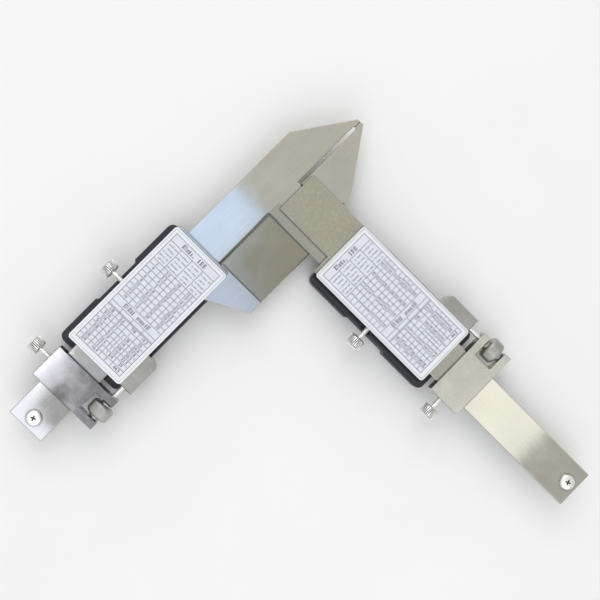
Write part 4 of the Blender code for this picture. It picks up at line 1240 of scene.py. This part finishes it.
def quarter_turns():
    """Angles from 0 to a quarter turn, for a rounded shoulder."""
    return [QUARTER_TURN * i / QUARTER_STEPS for i in range(QUARTER_STEPS + 1)]


def nut_profile(length, radius):
    """The roller nut: a hub, the knurled drum with its round shoulders, and a hub."""
    hub, drum, middle = 2.1 * MM, 2.9 * MM, length / 2
    shoulder, crown = 1.7 * MM, 1.3 * MM
    chamfer, chamfer_length = 0.25 * MM, 0.2 * MM
    rise = [
        (radius - shoulder * (1 - math.sin(turn)), drum - crown * (1 - math.cos(turn)))
        for turn in quarter_turns()
    ]
    steps = [(hub - chamfer, 0.0), (hub, chamfer_length), (hub, middle - drum)]
    steps += [(across, middle - out) for across, out in rise]
    steps += [(across, middle + out) for across, out in reversed(rise)]
    steps += [(hub, middle + drum), (hub, length - chamfer_length), (hub - chamfer, length)]
    return steps


class CALIPER_OT_roller_nuts(bpy.types.Operator):
    """Turns the knurled roller nuts of the fine adjustment"""

    bl_idname = "caliper.roller_nuts"
    bl_label = "Roller Nuts"

    def execute(self, context):
        sizes = context.scene.caliper_knurl
        for prefix in HEADS:
            node = f"{prefix}_adjust_nut"
            outward = head_way(prefix, TO_TAIL)
            length, radius = axis_size(node, outward)
            nut = turned("nut", COLUMNS_PER_RIDGE * sizes.nut_ridges, nut_profile(length, radius))
            knurl(nut, sizes.nut_ridges, radius - NUT_BAND, sizes.nut_groove)
            cut(nut, turned("bore", BORE_SIDES, [(NUT_BORE, -MM), (NUT_BORE, length + MM)]))
            smooth(nut, KNURL_ANGLE)
            stand_in(nut, node, "knurled", outward, "nut")
        return {"FINISHED"}


class CALIPER_OT_spindles(bpy.types.Operator):
    """Cuts the thread of the fine adjustment spindles"""

    bl_idname = "caliper.spindles"
    bl_label = "Threaded Spindles"

    def execute(self, context):
        sizes = context.scene.caliper_knurl
        for prefix in HEADS:
            node = f"{prefix}_adjust_spindle"
            outward = head_way(prefix, TO_TAIL)
            length, radius = axis_size(node, outward)
            chamfer = 0.2 * MM
            start, end = SPINDLE_PLAIN + chamfer, length - 0.4 * MM
            profile = [(radius - chamfer, 0.0), (radius, chamfer), (radius, SPINDLE_PLAIN)]
            profile += thread(radius, start, end, sizes.thread_pitch, sizes.thread_depth)
            profile += [(radius - 0.15 * MM, length - 0.3 * MM), (radius - 0.35 * MM, length)]
            spindle = turned("spindle", SPINDLE_SIDES, profile)
            smooth(spindle, SPINDLE_ANGLE)
            stand_in(spindle, node, "threaded", outward, "knob")
        return {"FINISHED"}


def make_stop_screw(height, radius):
    """A pan head screw with a cross recess."""
    head, shank, crown, chamfer = 1.5 * MM, 1.2 * MM, 0.9 * MM, 0.1 * MM
    arm_length, arm_width, cross_depth = 1.1 * MM, 0.3 * MM, 0.75 * MM
    foot = height - head
    profile = [(0.8 * shank, 0.0), (shank, 0.2 * MM)]
    profile += thread(shank, 0.3 * MM, foot - 0.3 * MM, STOP_PITCH, STOP_DEPTH)
    profile += [(shank, foot), (radius - chamfer, foot), (radius, foot + chamfer)]
    for turn in quarter_turns():
        out = radius - crown + crown * math.cos(turn)
        profile.append((out, foot + head * (0.35 + 0.58 * math.sin(turn))))
    profile.append((0.1 * MM, height))
    screw = turned("screw", SCREW_SIDES, profile)
    floor = height - cross_depth
    for turn in (0, QUARTER_TURN):
        arm = block("arm", (-arm_length, -arm_width, floor), (arm_length, arm_width, height + MM))
        arm.data.transform(Matrix.Rotation(turn + CROSS_TURN, 4, "Z"))
        cut(screw, arm)
    # Marks the cross recess, where the material paints shade.
    mark = screw.data.attributes.new("groove", "FLOAT", "POINT")
    for vert in screw.data.vertices:
        inner = math.hypot(vert.co.x, vert.co.y) < arm_length + 0.2 * MM
        mark.data[vert.index].value = float(inner and foot < vert.co.z < floor + 0.1 * MM)
    smooth(screw, SCREW_ANGLE)
    return screw


class CALIPER_OT_stop_screws(bpy.types.Operator):
    """Models the pan head screws at the beams' ends"""

    bl_idname = "caliper.stop_screws"
    bl_label = "Stop Screws"

    def execute(self, context):
        up = Vector((0, 0, 1))
        for prefix in HEADS:
            node = f"{prefix}_stop_screw"
            stand_in(make_stop_screw(*axis_size(node, up)), node, "recessed", up, "knob")
        return {"FINISHED"}


class CALIPER_OT_gib_screws(bpy.types.Operator):
    """Models the grub screws that set the gibs"""

    bl_idname = "caliper.gib_screws"
    bl_label = "Gib Screws"

    def execute(self, context):
        for prefix in HEADS:
            outward = head_way(prefix, TO_KNOBS)
            for part in ("gib_screw_1", "gib_screw_2"):
                node = f"{prefix}_{part}"
                length, radius = axis_size(node, outward)
                profile = [(0.6 * radius, 0.0)]
                profile += thread(radius, 0.15 * MM, length - 0.2 * MM, GRUB_PITCH, GRUB_DEPTH)
                profile += [(0.85 * radius, length)]
                screw = turned("grub", GRUB_SIDES, profile)
                ends = (length - SOCKET_DEPTH, length + MM)
                socket = turned("socket", SOCKET_SIDES, [(SOCKET_RADIUS, end) for end in ends])
                cut(screw, socket)
                smooth(screw, SCREW_ANGLE)
                stand_in(screw, node, "socketed", outward, "knob")
        return {"FINISHED"}


# Front side: keys, displays and scales

KEY_WORDS = ("ON OFF", "0", "mm in")
KEY_PRINT_GAP = 0.55 * MM
PRINT_HEIGHT = 0.01 * MM
POINTED_SHARE = 0.45
SEGMENT_HEIGHT = 0.02 * MM
POINT_SIZE = 0.8 * MM
READING_INSET = 9.5 * MM
UNIT_SIZE = 2.4 * MM
UNIT_PLACE = (4.6 * MM, -2.6 * MM, 0.0)
STRIP_MARGIN = 2.0 * MM
LINE_MARGIN = 0.25 * MM
LINE_HEIGHT = 0.01 * MM
FIGURE_GAP = 1.0 * MM
ARROW_RADIUS = 1.5 * MM
ARROW_HEIGHT = 0.12 * MM
ARROW_RIM = 0.25 * MM
ARROW_PLACE = 9.5 * MM
CROSS_REACH = 1.4 * MM
CROSS_WIDTH = 0.25 * MM
SEGMENTS = {
    "0": "abcdef",
    "1": "bc",
    "2": "abged",
    "3": "abgcd",
    "4": "fgbc",
    "5": "afgcd",
    "6": "afgedc",
    "7": "abc",
    "8": "abcdefg",
    "9": "abcdfg",
}
READINGS = {"jaw": "0.00", "tongue": "25.00"}


def face_down(x, y, z):
    """Turns print so that it reads from below, along the head's x axis."""
    return Matrix.Translation((x, y, z)) @ Matrix.Rotation(math.pi, 4, "X")


def key_profile(length, radius):
    """A moulded key, from its stem to its dished face."""
    stem, chamfer, cap, rounding = 1.1 * MM, 0.2 * MM, 2.5 * MM, 0.45 * MM
    flange_top = length - 1.6 * MM
    flange = flange_top - 0.8 * MM
    return [
        (stem - chamfer, 0.0),
        (stem, chamfer),
        (stem, flange),
        (radius, flange),
        (radius, flange_top),
        (cap, flange_top),
        (cap, length - rounding),
        (cap - 0.06 * MM, length - 0.25 * MM),
        (cap - 0.22 * MM, length - 0.08 * MM),
        (cap - rounding, length),
        (cap - 0.8 * MM, length - 0.03 * MM),
        (cap - 1.4 * MM, length - 0.12 * MM),
        (0.2 * MM, length - 0.17 * MM),
    ]


class CALIPER_OT_keys(bpy.types.Operator):
    """Models the dished keys beside each display"""

    bl_idname = "caliper.keys"
    bl_label = "Keys"

    def execute(self, context):
        down = Vector((0, 0, -1))
        for prefix in HEADS:
            for number in (1, 2, 3):
                node = f"{prefix}_button_{number}"
                key = turned("key", KEY_SIDES, key_profile(*axis_size(node, down)))
                smooth(key, KEY_ANGLE)
                stand_in(key, node, "dished", down, "key")
        return {"FINISHED"}


class CALIPER_OT_key_print(bpy.types.Operator):
    """Prints the plain marks beside the keys"""

    bl_idname = "caliper.key_print"
    bl_label = "Key Print"

    def execute(self, context):
        sizes = context.scene.caliper_display
        for prefix in HEADS:
            marks = []
            for number, word in enumerate(KEY_WORDS, 1):
                low, high = local_box(prefix, f"button_{number}")
                place = face_down((low.x + high.x) / 2, low.y - KEY_PRINT_GAP, -PRINT_HEIGHT)
                marks.append(printed("mark", word, sizes.key_print, place))
            print_piece = join(f"{prefix}_key_print", marks)
            bake_place(print_piece, head_matrix(prefix))
            dress(print_piece, MATERIALS["white_print"], f"{prefix}_head")
        return {"FINISHED"}


def make_segment(length, stroke):
    """One bar of a figure, pointed at both ends."""
    corner = Vector((length / 2, stroke / 2, 0))
    bar = block("segment", -corner, corner + Vector((0, 0, SEGMENT_HEIGHT)))
    edit(bar)
    bevel_upright(bar, POINTED_SHARE * stroke, 1)
    close_edit()
    return bar


def reading(prefix):
    """A display's figures, in a plane with x along the reading and y up."""
    sizes = bpy.context.scene.caliper_display
    half_w, half_h = sizes.digit_width / 2, sizes.digit_height / 2
    across = make_segment(sizes.digit_width - 1.15 * sizes.stroke, sizes.stroke)
    upright = make_segment(half_h - 0.15 * sizes.stroke, sizes.stroke)
    upright.data.transform(Matrix.Rotation(QUARTER_TURN, 4, "Z"))
    side = half_w - sizes.stroke / 2
    top = half_h - sizes.stroke / 2
    places = {
        "a": (across, 0, top),
        "g": (across, 0, 0),
        "d": (across, 0, -top),
        "f": (upright, -side, top / 2),
        "b": (upright, side, top / 2),
        "e": (upright, -side, -top / 2),
        "c": (upright, side, -top / 2),
    }
    pieces = []
    digit_x = 0.0
    for sign in reversed(READINGS[prefix]):
        if sign == ".":
            left = digit_x + (sizes.digit_pitch - POINT_SIZE) / 2
            high = (left + POINT_SIZE, -half_h + POINT_SIZE, SEGMENT_HEIGHT)
            pieces.append(block("point", (left, -half_h, 0), high))
            continue
        for letter in SEGMENTS[sign]:
            bar, x, y = places[letter]
            pieces.append(copy_of(bar, "bar", Matrix.Translation((digit_x + x, y, 0))))
        digit_x -= sizes.digit_pitch
    for bar in (across, upright):
        bpy.data.objects.remove(bar, do_unlink=True)
    return join(f"{prefix}_display_figures", pieces)


class CALIPER_OT_displays(bpy.types.Operator):
    """Sets the figures behind each display's lens"""

    bl_idname = "caliper.displays"
    bl_label = "Display Figures"

    def execute(self, context):
        for prefix in HEADS:
            low, high = local_box(prefix, "lcd_panel")
            figures = reading(prefix)
            unit = printed("unit", "mm", UNIT_SIZE, Matrix.Translation(UNIT_PLACE))
            figures = join(f"{prefix}_display_figures", [figures, unit])
            place = face_down(high.x - READING_INSET, (low.y + high.y) / 2, low.z - 0.005 * MM)
            bake_place(figures, head_matrix(prefix) @ place)
            dress(figures, MATERIALS["segment"], f"{prefix}_head")
        return {"FINISHED"}


def graduation(start, run, edge, inward, length, pitch):
    """Equal lines across a strip's edge, made by an array of one."""
    half = bpy.context.scene.caliper_scale.line_width / 2
    low, high = sorted((edge, edge + inward * length))
    line = block("lines", (start - half, low, -LINE_HEIGHT), (start + half, high, 0))
    array = line.modifiers.new("lines", "ARRAY")
    array.use_relative_offset = False
    array.use_constant_offset = True
    array.constant_offset_displace = (pitch, 0, 0)
    array.count = int(run / pitch) + 1
    apply_modifier(line, array)
    return line


def beam_scale(prefix):
    """Millimetre lines and figures on one edge of the strip, and inch lines on the other."""
    sizes = bpy.context.scene.caliper_scale
    short, middle, long = sizes.short_line, sizes.middle_line, sizes.long_line
    low, high = local_box(prefix, "scale_strip")
    start = low.x + STRIP_MARGIN
    run = high.x - STRIP_MARGIN - start
    scales = (
        (low.y + LINE_MARGIN, 1, ((MM, short), (5 * MM, middle), (10 * MM, long)), 10 * MM, 10),
        (high.y - LINE_MARGIN, -1, ((INCH / 16, short), (INCH, long)), INCH, 1),
    )
    pieces = [
        graduation(start, run, edge, inward, length, pitch)
        for edge, inward, lines, figure_pitch, unit in scales
        for pitch, length in lines
    ]
    for edge, inward, lines, figure_pitch, unit in scales:
        y = edge + inward * (long + FIGURE_GAP)
        for i in range(int(run / figure_pitch) + 1):
            place = face_down(start + i * figure_pitch, y, 0)
            pieces.append(printed("figure", str(i * unit), sizes.figure_size, place))
    marks = join(f"{prefix}_beam_graduations", pieces)
    bake_place(marks, head_matrix(prefix) @ Matrix.Translation((0, 0, low.z - 0.002 * MM)))
    return marks


class CALIPER_OT_beam_scales(bpy.types.Operator):
    """Graduates the strips on the beams' front faces"""

    bl_idname = "caliper.beam_scales"
    bl_label = "Beam Graduations"

    def execute(self, context):
        for prefix in HEADS:
            dress(beam_scale(prefix), MATERIALS["white_print"], "beam_frame")
        return {"FINISHED"}


def door_arrow(prefix):
    """A raised arrow with a rim, which shows the way the battery door slides."""
    low, high = local_box(prefix, "battery_door")
    place = (low.x + ARROW_PLACE, (low.y + high.y) / 2, low.z - ARROW_HEIGHT / 2)
    deselect()
    bpy.ops.mesh.primitive_cylinder_add(
        vertices=3,
        radius=ARROW_RADIUS,
        depth=ARROW_HEIGHT,
        location=place,
        rotation=(0, 0, -QUARTER_TURN),
    )
    arrow = bake_place(name_new(f"{prefix}_door_arrow"))
    edit(arrow)
    pick(arrow, "faces", lambda face: face.normal.z < -0.5)
    bpy.ops.mesh.inset(thickness=ARROW_RIM, depth=0)
    close_edit()
    return bake_place(arrow, head_matrix(prefix))


def cell_cross(prefix):
    """The cross pressed into the cell's face."""
    low, high = local_box(prefix, "battery")
    x, y = (low.x + high.x) / 2, (low.y + high.y) / 2
    bottom, top = low.z - 0.04 * MM, low.z + 0.05 * MM
    bars = [
        block("bar", (x - along, y - across, bottom), (x + along, y + across, top))
        for along, across in ((CROSS_REACH, CROSS_WIDTH), (CROSS_WIDTH, CROSS_REACH))
    ]
    return bake_place(join(f"{prefix}_cell_cross", bars), head_matrix(prefix))


class CALIPER_OT_doors(bpy.types.Operator):
    """Adds the arrow on each battery door and the cross on each cell"""

    bl_idname = "caliper.doors"
    bl_label = "Battery Doors"

    def execute(self, context):
        for prefix in HEADS:
            dress(door_arrow(prefix), MATERIALS["plastic"], f"{prefix}_door")
            dress(cell_cross(prefix), MATERIALS["cell"], f"{prefix}_head")
        return {"FINISHED"}


# Studio

FLOOR_SIZE = 6.0
SENSOR_WIDTH = 36.0
NEAR_CLIP = 0.01
LAMP_HEIGHT = 0.80

# Each lamp has its place, its size, its brightness and its colour. The panels are what
# the level steel mirrors to the camera, so each one lights one field of the plates.
LAMPS = (
    ("cool_panel_far", (-0.198, 0.052), (0.264, 0.082), 1.05, (0.37, 0.57, 1.0)),
    ("cool_panel_near", (-0.1525, -0.022), (0.355, 0.066), 0.80, (0.30, 0.47, 1.0)),
    ("cool_arm_panel", (-0.020, 0.017), (0.09, 0.012), 0.75, (0.30, 0.47, 1.0)),
    ("beam_gap_panel", (-0.093, -0.145), (0.12, 0.04), 0.2, (0.80, 0.88, 1.0)),
    ("beam_end_panel", (-0.110, -0.308), (0.14, 0.13), 1.35, (0.86, 0.90, 1.0)),
    ("beam_side_panel", (-0.149, -0.230), (0.094, 0.030), 1.35, (0.88, 0.92, 1.0)),
    ("carriage_panel", (-0.177, -0.190), (0.12, 0.10), 5.4, (0.95, 0.96, 1.0)),
    ("jaw_panel", (-0.060, 0.185), (0.36, 0.18), 0.12, (1.0, 0.97, 0.90)),
    ("warm_panel", (0.278, 0.135), (0.11, 0.15), 0.8, (1.0, 0.99, 0.95)),
    ("key_light", (-0.50, 0.46), (0.80, 0.80), 1.6, (1.0, 0.99, 0.97)),
    ("fill_light", (0.42, -0.42), (0.80, 0.80), 1.2, (0.98, 0.99, 1.0)),
)


def add_lamp(name, place, size, level, colour):
    """A soft lamp of a plain brightness; a panel faces straight down."""
    place = (*place, LAMP_HEIGHT)
    deselect()
    bpy.ops.object.light_add(type="AREA", location=place)
    lamp = name_new(name)
    lamp.data.shape = "RECTANGLE"
    lamp.data.size, lamp.data.size_y = size
    lamp.data.energy = level * math.pi * size[0] * size[1]
    lamp.data.color = colour
    if "panel" not in name:
        lamp.rotation_euler = Vector(place).to_track_quat("Z", "Y").to_euler()


def lay_floor():
    deselect()
    bpy.ops.mesh.primitive_plane_add(size=FLOOR_SIZE, location=(0, 0, 0))
    floor = name_new("pale_floor")
    colour = bpy.context.scene.caliper_studio.floor
    paint = grained("floor_paint", colour, 0.7, 1.5 * MM, 0.001 * MM, variation=0.01)
    floor.data.materials.append(paint)


class CALIPER_OT_studio(bpy.types.Operator):
    """Lays the floor and sets the lamps and the camera"""

    bl_idname = "caliper.studio"
    bl_label = "Studio"

    def execute(self, context):
        studio = context.scene.caliper_studio
        context.scene.view_settings.view_transform = "Standard"
        lay_floor()
        world = bpy.data.worlds.new("studio_room")
        context.scene.world = world
        world.use_nodes = True
        light = world.node_tree.nodes["Background"]
        light.inputs["Color"].default_value = (*studio.room, 1)
        light.inputs["Strength"].default_value = studio.room_level
        for lamp in LAMPS:
            add_lamp(*lamp)
        deselect()
        bpy.ops.object.camera_add(location=studio.camera_place, rotation=studio.camera_turn)
        camera = name_new("photo_camera")
        camera.data.lens = studio.camera_lens
        camera.data.sensor_width = SENSOR_WIDTH
        camera.data.clip_start = NEAR_CLIP
        context.scene.camera = camera
        return {"FINISHED"}


OPERATORS = (
    CALIPER_OT_finishes,
    CALIPER_OT_tables,
    CALIPER_OT_lock_screws,
    CALIPER_OT_roller_nuts,
    CALIPER_OT_spindles,
    CALIPER_OT_stop_screws,
    CALIPER_OT_gib_screws,
    CALIPER_OT_keys,
    CALIPER_OT_key_print,
    CALIPER_OT_displays,
    CALIPER_OT_beam_scales,
    CALIPER_OT_doors,
    CALIPER_OT_studio,
)


class CALIPER_PT_panel(bpy.types.Panel):
    """Lists the caliper's pieces in the sidebar"""

    bl_label = "Caliper"
    bl_idname = "CALIPER_PT_panel"
    bl_space_type = "VIEW_3D"
    bl_region_type = "UI"
    bl_category = "Caliper"

    def draw(self, context):
        for operator in OPERATORS:
            self.layout.operator(operator.bl_idname)
        for name in SETTINGS:
            box = self.layout.box()
            settings = getattr(context.scene, name)
            for key in settings.__annotations__:
                box.prop(settings, key)


def register():
    for group in SETTINGS.values():
        bpy.utils.register_class(group)
    for name, group in SETTINGS.items():
        setattr(bpy.types.Scene, name, PointerProperty(type=group))
    for operator in OPERATORS:
        bpy.utils.register_class(operator)
    bpy.utils.register_class(CALIPER_PT_panel)


def unregister():
    bpy.utils.unregister_class(CALIPER_PT_panel)
    for operator in reversed(OPERATORS):
        bpy.utils.unregister_class(operator)
    for name, group in SETTINGS.items():
        delattr(bpy.types.Scene, name)
        bpy.utils.unregister_class(group)


def main():
    register()
    bpy.ops.caliper.finishes()
    bpy.ops.caliper.tables()
    bpy.ops.caliper.lock_screws()
    bpy.ops.caliper.roller_nuts()
    bpy.ops.caliper.spindles()
    bpy.ops.caliper.stop_screws()
    bpy.ops.caliper.gib_screws()
    bpy.ops.caliper.keys()
    bpy.ops.caliper.key_print()
    bpy.ops.caliper.displays()
    bpy.ops.caliper.beam_scales()
    bpy.ops.caliper.doors()
    bpy.ops.caliper.studio()


if __name__ == "__main__":
    main()
